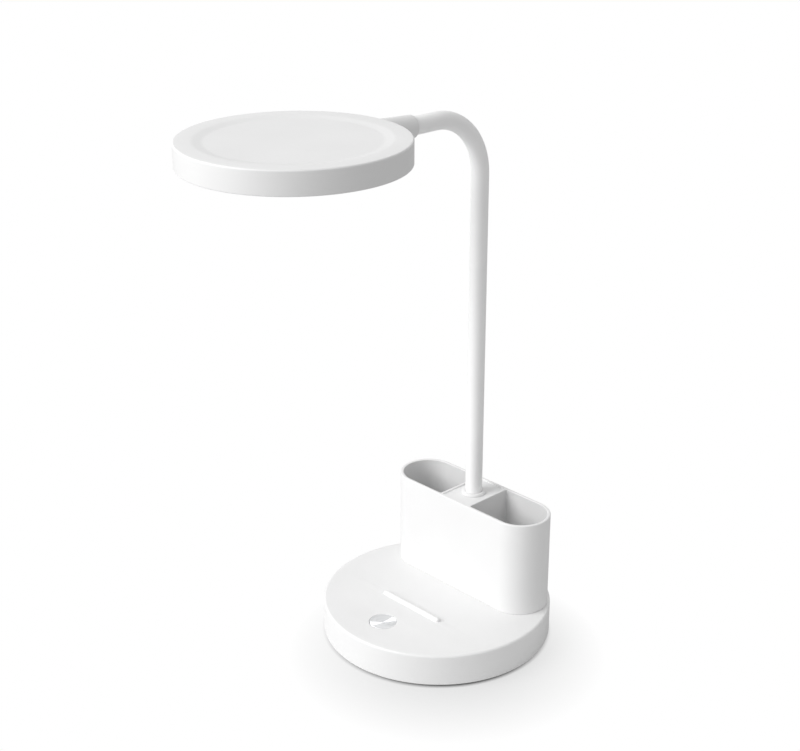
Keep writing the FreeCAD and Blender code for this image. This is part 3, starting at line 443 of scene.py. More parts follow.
def polished_abs(part, light, dark):
    """ABS from a polished part of the tool, as inside the pot and on the snap ring. The eye sees
    nearly the same white, a little glossier, with faint flow marks. Inside the pot it is given a
    greyer white, which paints the shade in the compartments. Inside the pot it is greyer, because
    the long core of the tool scuffs it as it draws out."""
    material, tree, shader, place = finish(f"ABS, polished moulding, {part} white")
    tones(tree, place, shader, light, dark, 30)
    gloss(tree, place, shader, 0.28, 0.36, 12)
    grain(tree, place, shader, 4.0, 0.004)
    shader.inputs["IOR"].default_value = 1.53
    return material


def silicone(made, light, dark):
    """Silicone rubber, extruded or moulded, and dusted. The eye sees a matte skin that light enters
    a little, so its shaded side stays soft."""
    material, tree, shader, place = finish(f"Silicone rubber, {made}, white")
    tones(tree, place, shader, light, dark, 25)
    gloss(tree, place, shader, 0.46, 0.56, 8)
    grain(tree, place, shader, 0.9, 0.004)
    shader.inputs["IOR"].default_value = 1.41
    shader.inputs["Subsurface Weight"].default_value = 0.12
    shader.inputs["Subsurface Radius"].default_value = (1.0, 0.98, 0.96)
    shader.inputs["Subsurface Scale"].default_value = 1.2 * MM
    return material


def spun_steel():
    """Stainless steel, spun on a lathe into a shallow dish. The fine rings left by the tool stretch
    the highlight into bright and grey fans that meet in the middle. The tool ran inwards as it cut,
    so the rings lie a little off the circle and the fans stand askew. The real rings are too fine
    to show, so they are drawn 2.8 mm apart."""
    material, tree, shader, place = finish("Stainless steel, spun and lacquered")
    shader.inputs["Metallic"].default_value = 1.0
    shader.inputs["Base Color"].default_value = linear("#F4F5F6")
    shader.inputs["Anisotropic"].default_value = 0.95
    shader.inputs["Anisotropic Rotation"].default_value = 0.35
    rings = {"Vector": place, "Location": (0.0, -KEY_Y * MM, 0.0)}
    rings = add(tree, "ShaderNodeMapping", rings, vector_type="POINT")
    turned = {"Vector": rings.outputs["Vector"], "Scale": per(2.827) * 2 * math.pi / WAVE_PHASE}
    turned = {**turned, "Distortion": 0.3, "Detail": 2.0}
    turned = add(tree, "ShaderNodeTexWave", turned, wave_type="RINGS", rings_direction="Z")
    spread = {"Value": turned.outputs["Fac"], "To Min": 0.50, "To Max": 0.60}
    spread = add(tree, "ShaderNodeMapRange", spread)
    tree.links.new(spread.outputs["Result"], shader.inputs["Roughness"])
    tangent = add(tree, "ShaderNodeTangent", direction_type="RADIAL", axis="Z")
    tree.links.new(tangent.outputs["Tangent"], shader.inputs["Tangent"])
    return material


def opal_acrylic():
    """Acrylic with a light-scattering filler, extruded in sheet. Unlit it looks like milk glass
    with a frosted skin."""
    material, tree, shader, place = finish("Acrylic, opal sheet, frosted")
    tones(tree, place, shader, "#F7F7F5", "#F4F4F2", 40)
    gloss(tree, place, shader, 0.5, 0.58, 10)
    grain(tree, place, shader, 0.7, 0.002)
    shader.inputs["IOR"].default_value = 1.49
    shader.inputs["Subsurface Weight"].default_value = 0.4
    shader.inputs["Subsurface Radius"].default_value = (1.0, 1.0, 0.95)
    shader.inputs["Subsurface Scale"].default_value = 2.0 * MM
    return material


def pad_rubber():
    """Thermoplastic rubber, pressed sheet. Matte pale grey with a leathery grain of 0.8 mm."""
    material, tree, shader, place = finish("Thermoplastic rubber, pressed sheet")
    tones(tree, place, shader, "#C9C9C6", "#BFBFBC", 20)
    gloss(tree, place, shader, 0.68, 0.8, 6)
    grain(tree, place, shader, 0.8, 0.02, 4.0)
    shader.inputs["IOR"].default_value = 1.5
    return material


def surface(name, light, dark, low, high, width, tool_width, tool_depth):
    """A plain finish: two tones that drift over width, roughness from low to high, tool marks."""
    material, tree, shader, place = finish(name)
    tones(tree, place, shader, light, dark, width)
    gloss(tree, place, shader, low, high, width / 2)
    grain(tree, place, shader, tool_width, tool_depth)
    return material, shader


def metal(*values):
    """A plain metal, with the values that surface() takes."""
    material, shader = surface(*values)
    shader.inputs["Metallic"].default_value = 1.0
    return material


def plastic(*values, ior):
    """A plain plastic or resin, with the values that surface() takes."""
    material, shader = surface(*values)
    shader.inputs["IOR"].default_value = ior
    return material


def zinc_steel():
    """Steel, stamped or headed, and zinc plated. Grey with a bluish, slightly clouded shine."""
    return metal("Steel, zinc plated", "#B9BDC4", "#A4A9B2", 0.3, 0.45, 6, 0.5, 0.003)


def rolled_steel():
    """Steel links turned from bar. Darker and oily, with fine turning marks."""
    return metal("Steel, turned and oiled", "#A3A5A8", "#8E9094", 0.28, 0.4, 5, 0.4, 0.004)


def turned_brass():
    """Brass, turned from bar. Warm yellow with fine rings and a soft shine."""
    return metal("Brass, turned", "#D6B66E", "#C8A55A", 0.22, 0.34, 5, 0.4, 0.003)


def pouch_foil():
    """Aluminium-polymer foil, heat pressed round a cell. Satin silver with shallow dimples."""
    return metal("Aluminium foil pouch, pressed", "#CDCFD2", "#BFC1C5", 0.35, 0.5, 9, 2.5, 0.03)


def solder_mask():
    """Epoxy solder mask, screen printed on glass laminate. Deep glossy green over a faint weave."""
    name = "Epoxy solder mask on laminate"
    return plastic(name, "#1F6B42", "#185737", 0.25, 0.35, 8, 0.5, 0.008, ior=1.55)


def white_mask():
    """Epoxy solder mask on an aluminium board. Flat bright white, so that it throws light down."""
    name = "Epoxy solder mask, white"
    return plastic(name, "#EDEDEA", "#E4E4E1", 0.35, 0.45, 12, 0.6, 0.004, ior=1.55)


def phosphor():
    """Silicone loaded with phosphor over each LED die. Yellow and waxy when unlit."""
    name = "Phosphor silicone, cast"
    return plastic(name, "#F2D873", "#E9C957", 0.3, 0.4, 2, 0.3, 0.004, ior=1.45)


def lead_vinyl():
    """PVC jacket, extruded over the leads. Off-white with a satin skin."""
    return plastic("PVC jacket, extruded", "#E6E5E1", "#DBDAD6", 0.4, 0.52, 6, 0.5, 0.005, ior=1.53)


def contact_foam():
    """Polyurethane foam filled with carbon. Charcoal, open pores of about half a millimetre."""
    name = "Carbon-filled foam, cut"
    return plastic(name, "#3C3C3E", "#29292B", 0.85, 0.95, 2, 0.5, 0.12, ior=1.4)


# ---------------------------------------------------------------- the base


def housing():
    """The round white housing: deck, soft edge, wall, with the ledge and the seat of the key."""
    skin = Skin()
    inner = BASE_RADIUS - BASE_WALL
    wall = rounded(
        [
            (BASE_RADIUS - 4, DECK_TOP, 0),
            (BASE_RADIUS, DECK_TOP, 1.5),
            (BASE_RADIUS, HOUSING_LOW, 0.7),
            (inner, HOUSING_LOW, 0.5),
            (inner, DECK_UNDER, 1.0),
            (inner - 4, DECK_UNDER, 0),
        ]
    )
    rings = skin.wall([(round_plan(0, 0, r, 256), z) for r, z in wall])
    deck_edge, under_edge = rings[0], rings[-1]

    half = LEDGE_LENGTH / 2
    half_width = LEDGE_WIDTH / 2

    def ledge_plan(grow):
        ends = (half_width,) * 4
        return plan(-half, LEDGE_Y - half_width, half, LEDGE_Y + half_width, ends, grow, 10)

    fillet = [(out, DECK_TOP + up) for out, up in quarter(LEDGE_FILLET)]
    top = DECK_TOP + LEDGE_HEIGHT
    crown = [(-inwards, top - down) for inwards, down in reversed(quarter(LEDGE_CROWN, 10))]
    ledge = skin.wall([(ledge_plan(grow), z) for grow, z in fillet + crown])
    skin.lid(ledge[-1])

    seat_radius = KEY_RADIUS + KEY_GAP
    seat_floor = DECK_TOP - KEY_THICKNESS - KEY_GAP
    seat = [(seat_radius + inwards, DECK_TOP - down) for inwards, down in quarter(0.3)]
    seat += [
        (seat_radius, seat_floor),
        (KEY_RADIUS - SEAT_WALL, seat_floor),
        (KEY_RADIUS - SEAT_WALL, SEAT_LOW),
        (seat_radius + SEAT_WALL, SEAT_LOW),
        (seat_radius + SEAT_WALL, DECK_UNDER),
    ]
    seat_rings = skin.wall([(round_plan(0, KEY_Y, r, 128), z) for r, z in seat])
    skin.lid(deck_edge, ledge[0], seat_rings[0])
    skin.lid(under_edge, seat_rings[-1])
    piece = skin.piece("housing")

    slot = Skin()
    reach = (USB_WIDTH - USB_HEIGHT) / 2
    opening = USB_HEIGHT / 2 + SLOT_GAP
    ends = (opening,) * 4
    rings = []
    for y, grow in ((60.0, 0), (69.55, 0), (70.6, 1.05)):
        grown = plan(-reach - opening, -opening, reach + opening, opening, ends, grow)
        rings.append(slot.loop([(x, y, USB_MIDDLE + z) for x, z in grown]))
    slot.enclose(rings)
    carve(piece, slot.piece("slot_tool"), "DIFFERENCE")
    return piece


def foot_pad():
    """The pad under the base, its edges broken, with a shallow ring pressed into its underside."""
    section = rounded(
        [
            (0, PAD_TOP, 0),
            (PAD_RADIUS, PAD_TOP, 0.2),
            (PAD_RADIUS, 0, 0.4),
            (58, 0, 0),
            (57.6, 0.35, 0),
            (52.4, 0.35, 0),
            (52, 0, 0),
            (0, 0, 0),
        ]
    )
    return lathe("foot_pad", section)


def key():
    """The touch key: a thin steel disc with a rolled edge and a dished face."""
    low = KEY_TOP - KEY_THICKNESS
    steps = 12
    section = []
    for part in range(steps + 1):
        share = part / steps
        depth = 0.05 + KEY_DISH * (1 - share) * (1 + 0.35 * share)
        section.append((KEY_FACE * share, KEY_TOP - depth, 0))
    section += [
        (7.75, KEY_TOP, 0.3),
        (KEY_RADIUS, KEY_TOP, 0.25),
        (KEY_RADIUS, low, 0.1),
        (0, low, 0),
    ]
    return lathe("key_disc", rounded(section, step=15), 0, KEY_Y, sides=128)


def usb_socket():
    """The charging socket: a thin pressed shell with a contact tongue inside."""
    skin = Skin()
    reach = (USB_WIDTH - USB_HEIGHT) / 2
    outer = USB_HEIGHT / 2
    inner = outer - 0.3

    def ring_at(y, radius):
        ends = (radius,) * 4
        shape = plan(-reach - radius, -radius, reach + radius, radius, ends, 0, 16)
        return skin.loop([(x, y, USB_MIDDLE + z) for x, z in shape])

    front, mouth = 61.6, 68.9
    rings = [
        ring_at(front, outer),
        ring_at(mouth - 0.1, outer),
        ring_at(mouth, outer - 0.1),
        ring_at(mouth, inner + 0.1),
        ring_at(mouth - 0.1, inner),
        ring_at(front + 0.6, inner),
    ]
    skin.enclose(rings)
    tongue = []
    for y, shrink in ((front + 0.6, 0), (mouth - 1.1, 0), (mouth - 0.9, 0.15)):
        wide, high = reach + 0.3 - shrink, 0.3 - shrink / 2
        shape = plan(-wide, -high, wide, high, (0.08,) * 4, 0, 4)
        tongue.append(skin.loop([(x, y, USB_MIDDLE + z) for x, z in shape]))
    skin.enclose(tongue)
    return skin.piece("charging_socket")


# ---------------------------------------------------------------- the pot


def pot():
    """The pen pot with its thin soft rim, round-cornered floors and recessed column top."""
    skin = Skin()
    half_length, half_width = POT_LENGTH / 2, POT_WIDTH / 2
    front, back = POT_Y - half_width, POT_Y + half_width
    outer_ends = (half_width,) * 4

    def outer(grow):
        return plan(-half_length, front, half_length, back, outer_ends, grow, 48)

    edge = [(-inwards, POT_RIM - down) for inwards, down in quarter(0.6)]
    foot = [(0, DECK_TOP + 0.3), (-0.3, DECK_TOP)]
    rings = skin.wall([(outer(grow), z) for grow, z in edge + foot])
    rim, sole = rings[0], rings[-1]

    inner_radius = half_width - POT_WALL
    low_y, high_y = front + POT_WALL, back - POT_WALL
    floor = DECK_TOP + POT_WALL
    mouths = []
    for side in (-1, 1):
        flat, end = side * COLUMN_HALF, side * (half_length - POT_WALL)
        left, right = min(flat, end), max(flat, end)
        radii = [inner_radius] * 2 + [POT_CORNER] * 2
        if side < 0:
            radii.reverse()

        def compartment(grow, left=left, right=right, radii=radii):
            return plan(left, low_y, right, high_y, radii, grow, 32)

        lip = [(inwards, POT_RIM - down) for inwards, down in quarter(0.45)]
        cove = [(-COVE * (1 - math.cos(a)), floor + COVE * (1 - math.sin(a))) for a in angles(5)]
        walls = skin.wall([(compartment(grow), z) for grow, z in lip + cove])
        skin.lid(walls[-1])
        mouths.append(walls[0])

    def column(grow):
        return plan(-COLUMN_INNER, low_y, COLUMN_INNER, high_y, (0.5,) * 4, grow, 8)

    lip = [(inwards, POT_RIM - down) for inwards, down in quarter(0.3, steps=4)]
    recess = skin.wall([(column(grow), z) for grow, z in lip + [(0, COLUMN_TOP)]])
    skin.lid(rim, *mouths, recess[0])
    neck_hole = round_plan(0, POT_Y, NECK_HOLE)
    hole = skin.wall([(neck_hole, COLUMN_TOP), (neck_hole, COLUMN_CEILING)])
    skin.lid(recess[-1], hole[0])
    hollow = skin.wall([(column(0), COLUMN_CEILING), (column(0), DECK_TOP)])
    skin.lid(hollow[0], hole[-1])
    skin.lid(sole, hollow[-1])
    return skin.piece("pot")


def paint_pot_shade(piece, shaded_lining):
    """Gives the walls and floors of the two compartments a greyer white, as painted shade inside
    them.
    """
    half_width = POT_WIDTH / 2
    straight = (POT_LENGTH - POT_WIDTH) / 2
    piece.data.materials.append(shaded_lining)
    # The faces of the compartments' walls and floors take the greyer white, which paints the shade
    # inside them.
    for face in piece.data.polygons:
        x, y, z = face.center / MM
        off_middle = math.hypot(max(abs(x) - straight, 0.0), y - POT_Y)
        inside = off_middle < half_width - POT_WALL / 2 and abs(x) > COLUMN_HALF - 0.2
        if inside and DECK_TOP + 1.0 < z < POT_RIM - 0.3:
            face.material_index = 1


def collar():
    """The soft ring round the foot of the neck."""
    top = COLUMN_TOP + COLLAR_HEIGHT
    section = rounded(
        [
            (NECK_HOLE, COLUMN_TOP, 0),
            (COLLAR_RADIUS, COLUMN_TOP, 0.2),
            (COLLAR_RADIUS, top, 1.3),
            (NECK_HOLE, top, 0.3),
        ],
        closed=True,
    )
    return lathe("collar", section, 0, POT_Y, sides=128)


# ---------------------------------------------------------------- the neck


def on_neck(run):
    """The y, z and lean of the neck at this distance along it from the sleeve's low end."""
    straight = ARCH_LOW - SLEEVE_LOW
    arch = BEND_RADIUS * math.pi / 2
    if run <= straight:
        return POT_Y, SLEEVE_LOW + run, 0.0
    if run <= straight + arch:
        angle = (run - straight) / BEND_RADIUS
        y = ARCH_Y + BEND_RADIUS * math.cos(angle)
        return y, ARCH_LOW + BEND_RADIUS * math.sin(angle), angle
    return ARCH_Y - (run - straight - arch), RUN_HEIGHT, math.pi / 2


def sleeve_tree(rubber):
    """A geometry tree that draws a tube of a given radius along the path that it is given."""
    sizes = {"Radius": SLEEVE_RADIUS, "Sides": 72}
    tree, given = sized_tree("sleeve_along_path", "Sleeve", sizes, given="Path")
    path = add(tree, "GeometryNodeMeshToCurve", {"Mesh": given["Path"]})
    ring = {"Resolution": given["Sides"], "Radius": given["Radius"]}
    ring = add(tree, "GeometryNodeCurvePrimitiveCircle", ring)
    tube = {"Curve": path.outputs["Curve"], "Profile Curve": ring.outputs["Curve"]}
    tube = add(tree, "GeometryNodeCurveToMesh", tube)
    real = add(tree, "GeometryNodeRealizeInstances", {"Geometry": tube.outputs["Mesh"]})
    coated = {"Geometry": real.outputs["Geometry"], "Material": rubber}
    coated = add(tree, "GeometryNodeSetMaterial", coated)
    add(tree, "NodeGroupOutput", {"Sleeve": coated.outputs["Geometry"]})
    return tree


def sleeve_length(name, start, end, tree):
    """One length of the sleeve from start to end along the neck, as a closed thin wall."""
    count = max(8, round(end - start))
    runs = [start, start + 0.1]
    runs += [start + (end - start) * number / count for number in range(1, count)]
    runs += [end - 0.1, end]
    points = [Vector((0, *on_neck(run)[:2])) * MM for run in runs]
    mesh = bpy.data.meshes.new(name)
    mesh.from_pydata(points, [(number, number + 1) for number in range(len(points) - 1)], [])
    piece = put(name, mesh)
    drawn = piece.modifiers.new("sleeve", "NODES")
    drawn.node_group = tree
    wall = piece.modifiers.new("wall", "SOLIDIFY")
    wall.thickness = SLEEVE_WALL * MM
    wall.offset = -1
    wall.use_even_offset = True
    settle(piece)
    work = bmesh.new()
    work.from_mesh(piece.data)
    bmesh.ops.recalc_face_normals(work, faces=work.faces)
    work.to_mesh(piece.data)
    work.free()
    return piece


def neck_sleeve(rubber):
    """The sleeve, drawn in lengths that each cross one bend point from mid-link to mid-link."""
    joints = frame["joints"]
    runs = []
    straight = ARCH_LOW - SLEEVE_LOW
    for joint in joints:
        y, z = [value / MM for value in joint["pos_m"][1:]]
        if z <= ARCH_LOW + CLOSE:
            runs.append(z - SLEEVE_LOW)
        else:
            runs.append(straight + BEND_RADIUS * math.atan2(z - ARCH_LOW, y - ARCH_Y))
    end = straight + BEND_RADIUS * math.pi / 2 + ARCH_Y - SLEEVE_END_Y
    cuts = [0.0] + [(low + high) / 2 for low, high in zip(runs, runs[1:])] + [end]
    tree = sleeve_tree(rubber)
    for number, joint in enumerate(joints):
        piece = sleeve_length(f"sleeve_{number + 1}", cuts[number], cuts[number + 1], tree)
        y, z, angle = on_neck(runs[number])
        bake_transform(piece)
        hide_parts(f"neck_sleeve_{number}", f"neck_sleeve_{number + 1}")


# ---------------------------------------------------------------- the head


def head():
    """The head's shell: soft rim, shallow dish on top, hollow below, and the boss for the neck."""
    inner = HEAD_RADIUS - HEAD_WALL
    ceiling = HEAD_TOP - HEAD_WALL
    slope = DISH_RADIUS - DISH_SLOPE
    section = rounded(
        [
            (0, HEAD_TOP - DISH_DEPTH, 0),
            (slope, HEAD_TOP - DISH_DEPTH, 12.0),
            (DISH_RADIUS, HEAD_TOP, 12.0),
            (HEAD_RADIUS, HEAD_TOP, 1.0),
            (HEAD_RADIUS, HEAD_LOW, 0.5),
            (inner, HEAD_LOW, 0.3),
            (inner, ceiling, 0.8),
            (DISH_RADIUS, ceiling, 0),
            (slope, ceiling - DISH_DEPTH, 0),
            (0, ceiling - DISH_DEPTH, 0),
        ],
        step=6,
    )
    shell = lathe("head_case", section, 0, HEAD_Y, sides=288)

    boss = Skin()
    root_z = (HEAD_LOW + HEAD_TOP) / 2
    tip_z = RUN_HEIGHT - 0.2
    climb = math.atan2(root_z - tip_z, BOSS_TIP_Y - (HEAD_Y + HEAD_RADIUS - HEAD_WALL))
    stations = [(down, BOSS_RADIUS - inwards) for inwards, down in quarter(BOSS_ROUND, steps=8)]
    stations += [(BOSS_ROUND + 2.2 * part, BOSS_RADIUS) for part in range(1, 10)]
    stations.append((BOSS_TIP_Y - BOSS_ROOT_Y, BOSS_RADIUS))
    cos, sin = math.cos(climb), math.sin(climb)
    rings = []
    for away, radius in stations:
        rim = round_plan(0, 0, radius)
        rings.append(
            boss.loop(
                [
                    (x, BOSS_TIP_Y - away * cos + up * sin, tip_z + away * sin + up * cos)
                    for x, up in rim
                ]
            )
        )
    boss.enclose(rings)
    carve(shell, boss.piece("boss_tool"), "UNION")

    bore = lathe(
        "bore_tool",
        [
            (0, -20.0),
            (NECK_HOLE, -20.0),
            (NECK_HOLE, SLEEVE_END_Y),
            (CUP_HOLE, SLEEVE_END_Y),
            (CUP_HOLE, SLEEVE_END_Y - CUP_DEPTH),
            (TANG_HOLE, SLEEVE_END_Y - CUP_DEPTH),
            (TANG_HOLE, -50.0),
            (0, -50.0),
        ],
        0,
        RUN_HEIGHT,
        sides=96,
        along="y",
    )
    carve(shell, bore, "DIFFERENCE")
    return shell


def opal_plate():
    """The diffuser, a flat opal disc with polished edges."""
    low, high = HEAD_LOW + 0.9, HEAD_LOW + 2.3
    radius = RING_RADIUS - RING_WALL - 0.2
    section = rounded([(0, high, 0), (radius, high, 0.2), (radius, low, 0.2), (0, low, 0)], step=15)
    return lathe("opal_plate", section, 0, HEAD_Y)


def snap_ring():
    """The ring that holds the diffuser, with softened edges."""
    low = HEAD_LOW + 0.1
    shelf, top = low + 0.8, low + 2.2
    section = rounded(
        [
            (RING_RADIUS - RING_WIDTH, low, 0.3),
            (RING_RADIUS, low, 0.25),
            (RING_RADIUS, top, 0.2),
            (RING_RADIUS - RING_WALL, top, 0.15),
            (RING_RADIUS - RING_WALL, shelf, 0),
            (RING_RADIUS - RING_WIDTH, shelf, 0.1),
        ],
        closed=True,
        step=15,
    )
    return lathe("snap_ring", section, 0, HEAD_Y)


def sized_tree(name, result, sizes, given=None):
    """An empty geometry tree with a named input for each size in millimetres, and its sockets."""
    tree = bpy.data.node_groups.new(name, "GeometryNodeTree")
    if given:
        tree.interface.new_socket(given, in_out="INPUT", socket_type="NodeSocketGeometry")
    for label, value in sizes.items():
        whole = isinstance(value, int)
        kind = "NodeSocketInt" if whole else "NodeSocketFloat"
        socket = tree.interface.new_socket(label, in_out="INPUT", socket_type=kind)
        socket.default_value = value if whole else value * MM
    tree.interface.new_socket(result, in_out="OUTPUT", socket_type="NodeSocketGeometry")
    return tree, add(tree, "NodeGroupInput").outputs


def drawn_by(tree, name, points=(), sizes=None):
    """A plain mesh that a geometry tree draws from loose points, with its own sizes."""
    mesh = bpy.data.meshes.new(name)
    mesh.from_pydata([Vector(point) * MM for point in points], [], [])
    piece = put(name, mesh)
    drawn = piece.modifiers.new("drawn", "NODES")
    drawn.node_group = tree
    for item in tree.interface.items_tree:
        if sizes and item.name in sizes:
            drawn[item.identifier] = sizes[item.name] * MM
    return settle(piece)


def stretched(tree, shape, across, tall):
    """A shape drawn about one unit wide and high, stretched to its real width and height."""
    size = add(tree, "ShaderNodeCombineXYZ", {"X": across, "Y": across, "Z": tall})
    inputs = {"Geometry": shape, "Scale": size.outputs["Vector"]}
    return add(tree, "GeometryNodeTransform", inputs).outputs["Geometry"]


def screw_tree(plating):
    """A geometry tree that sets a pan-head screw with a cross recess at each seat. The screws point
    up, with their heads below the seats. Shank and head are drawn in units first."""
    sizes = {"Shank radius": 1.0, "Shank length": 4.35, "Head radius": 1.9, "Head height": 1.2}
    tree, given = sized_tree("pan_head_screws", "Screws", sizes, given="Seats")
    whole, flattened = (1.0, 1.0, 1.0), (1.0, 1.0, 0.56)
    rod = {"Vertices": 24, "Radius": 1.0, "Depth": 1.04}
    rim = {"Vertices": 32, "Radius": 1.0, "Depth": 0.5}
    pan = {"Segments": 32, "Rings": 12, "Radius": 0.98}
    slots = {"Size": (1.1, 0.26, 1.0)}, {"Size": (0.26, 1.1, 1.0)}
    placed = []
    for kind, drawn, lift, scale, part in (
        ("Cylinder", rod, 0.48, whole, ("Shank radius", "Shank length")),
        ("Cylinder", rim, -0.25, whole, ("Head radius", "Head height")),
        ("UVSphere", pan, -0.45, flattened, ("Head radius", "Head height")),
        ("Cube", slots[0], -1.05, whole, ("Head radius", "Head height")),
        ("Cube", slots[1], -1.05, whole, ("Head radius", "Head height")),
    ):
        solid = add(tree, f"GeometryNodeMesh{kind}", drawn).outputs["Mesh"]
        inputs = {"Geometry": solid, "Translation": (0.0, 0.0, lift), "Scale": scale}
        in_units = add(tree, "GeometryNodeTransform", inputs).outputs["Geometry"]
        placed.append(stretched(tree, in_units, *(given[size] for size in part)))
    blank = {"Mesh 2": placed[:3]}
    blank = add(tree, "GeometryNodeMeshBoolean", blank, operation="UNION", solver="EXACT")
    screw = {"Mesh 1": blank.outputs["Mesh"], "Mesh 2": placed[3:]}
    screw = add(tree, "GeometryNodeMeshBoolean", screw, operation="DIFFERENCE", solver="EXACT")
    rows = {"Points": given["Seats"], "Instance": screw.outputs["Mesh"]}
    rows = add(tree, "GeometryNodeInstanceOnPoints", rows)
    real = add(tree, "GeometryNodeRealizeInstances", {"Geometry": rows.outputs["Instances"]})
    coated = {"Geometry": real.outputs["Geometry"], "Material": plating}
    coated = add(tree, "GeometryNodeSetMaterial", coated).outputs["Geometry"]
    add(tree, "NodeGroupOutput", {"Screws": coated})
    return tree


def chip_tree(body, lens):
    """A geometry tree that sets LED packages in two rings round the middle of the head: a white
    body with a low phosphor lens. A package is drawn standing up and then turned over."""
    sizes = {
        "Outer count": 24,
        "Outer radius": 42.0,
        "Inner count": 12,
        "Inner radius": 24.0,
        "Length": 3.5,
        "Width": 2.8,
        "Height": 0.74,
        "Lens radius": 1.15,
        "Lens depth": 0.06,
        "Board": 321.4,
    }
    tree, given = sized_tree("led_packages", "Chips", sizes)
    sides = {"X": given["Length"], "Y": given["Width"], "Z": given["Height"]}
    sides = add(tree, "ShaderNodeCombineXYZ", sides).outputs["Vector"]
    block = add(tree, "GeometryNodeMeshCube", {"Size": sides}).outputs["Mesh"]
    dome = {"Segments": 20, "Rings": 10, "Radius": 1.0}
    dome = add(tree, "GeometryNodeMeshUVSphere", dome).outputs["Mesh"]
    dome = stretched(tree, dome, given["Lens radius"], given["Lens depth"])
    above = add(tree, "ShaderNodeCombineXYZ", {"Z": given["Height"]}).outputs["Vector"]
    middle = add(tree, "ShaderNodeVectorMath", {0: above, "Scale": 0.5}, operation="SCALE")
    parts = []
    for shape, place, material in ((block, middle.outputs["Vector"], body), (dome, above, lens)):
        lifted = add(tree, "GeometryNodeTransform", {"Geometry": shape, "Translation": place})
        cast = {"Geometry": lifted.outputs["Geometry"], "Material": material}
        parts.append(add(tree, "GeometryNodeSetMaterial", cast).outputs["Geometry"])
    standing = add(tree, "GeometryNodeJoinGeometry", {"Geometry": parts}).outputs["Geometry"]
    over = {"Geometry": standing, "Rotation": (math.pi, 0.0, 0.0)}
    package = add(tree, "GeometryNodeTransform", over).outputs["Geometry"]
    spoke = {"Vector": add(tree, "GeometryNodeInputPosition").outputs["Position"]}
    outwards = add(tree, "FunctionNodeAlignRotationToVector", spoke, axis="X", pivot_axis="Z")
    rings = []
    for label in ("Outer", "Inner"):
        count = given[f"{label} count"]
        circle = {"Vertices": count, "Radius": given[f"{label} radius"]}
        circle = add(tree, "GeometryNodeMeshCircle", circle).outputs["Mesh"]
        seated = {"Points": circle, "Instance": package, "Rotation": outwards.outputs["Rotation"]}
        ring = add(tree, "GeometryNodeInstanceOnPoints", seated).outputs["Instances"]
        half_step = add(tree, "ShaderNodeMath", {0: math.pi, 1: count}, operation="DIVIDE")
        half_turn = add(tree, "ShaderNodeCombineXYZ", {"Z": half_step.outputs["Value"]})
        turned = {"Geometry": ring, "Rotation": half_turn.outputs["Vector"]}
        rings.append(add(tree, "GeometryNodeTransform", turned).outputs["Geometry"])
    both = add(tree, "GeometryNodeJoinGeometry", {"Geometry": rings}).outputs["Geometry"]
    centre = add(tree, "ShaderNodeCombineXYZ", {"Y": HEAD_Y * MM, "Z": given["Board"]})
    hung = {"Geometry": both, "Translation": centre.outputs["Vector"]}
    hung = add(tree, "GeometryNodeTransform", hung).outputs["Geometry"]
    real = add(tree, "GeometryNodeRealizeInstances", {"Geometry": hung})
    add(tree, "NodeGroupOutput", {"Chips": real.outputs["Geometry"]})
    return tree


# ---------------------------------------------------------------- put together

abs_base = moulded_abs("base", "#EBEBEB", "#E8E8E8")
# The head's whites are darker than the base's, as painted shade on the head; the polished ABS of
# the snap ring and reflector takes the same darker pair.
shaded_abs_head = moulded_abs("head", "#E4E4E4", "#E1E1E1")
abs_polished = polished_abs("head", "#E4E4E4", "#E1E1E1")
# The lining's greyer white is painted shade inside the compartments.
abs_shaded_lining = polished_abs("shaded_lining", "#E1E1E1", "#DDDDDD")
rubber_skin = silicone("extruded", "#F8F8F8", "#F5F5F5")
# The collar's silicone is greyer than the sleeve's, as painted shade on the ring.
shaded_rubber_ring = silicone("moulded", "#E6E6E6", "#E3E3E3")
key_steel = spun_steel()
opal = opal_acrylic()
pad_sheet = pad_rubber()
plated = zinc_steel()
link_steel = rolled_steel()
brass = turned_brass()
foil = pouch_foil()
green_mask = solder_mask()
bright_mask = white_mask()
phosphor_resin = phosphor()
vinyl = lead_vinyl()
carbon_foam = contact_foam()


def join_in(piece, slot, body, *nodes):
    """Joins a finished piece to its body, and hides the nodes that it stands for. The slot is not
    used.
    """
    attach(piece, body)
    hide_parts(*nodes)


def dress(piece, material, slot, body, *nodes):
    """Gives a finished piece its one material, and joins it in."""
    piece.data.materials.clear()
    piece.data.materials.append(material)
    join_in(piece, slot, body, *nodes)


dress(housing(), abs_base, "housing", "base", "base_shell")
dress(foot_pad(), pad_sheet, "foot_rubber", "base", "antislip_pad")
dress(key(), key_steel, "key_metal", "base", "touch_key")
dress(usb_socket(), plated, "plug_shell", "base", "usb_inlet")
pen_pot = pot()
dress(pen_pot, abs_base, "housing", "base", "pen_pot")
paint_pot_shade(pen_pot, abs_shaded_lining)
dress(collar(), shaded_rubber_ring, "silicone", "base", "neck_collar")
dress(head(), shaded_abs_head, "housing", "head", "head_shell")
dress(opal_plate(), opal, "opal", "head", "diffuser")
dress(snap_ring(), abs_polished, "housing", "head", "diffuser_ring")
neck_sleeve(rubber_skin)

CASE_SCREW = {"Shank radius": 1.5, "Shank length": 7.95, "Head radius": 2.8, "Head height": 1.5}
LED_SCREW = {"Shank length": 4.75}
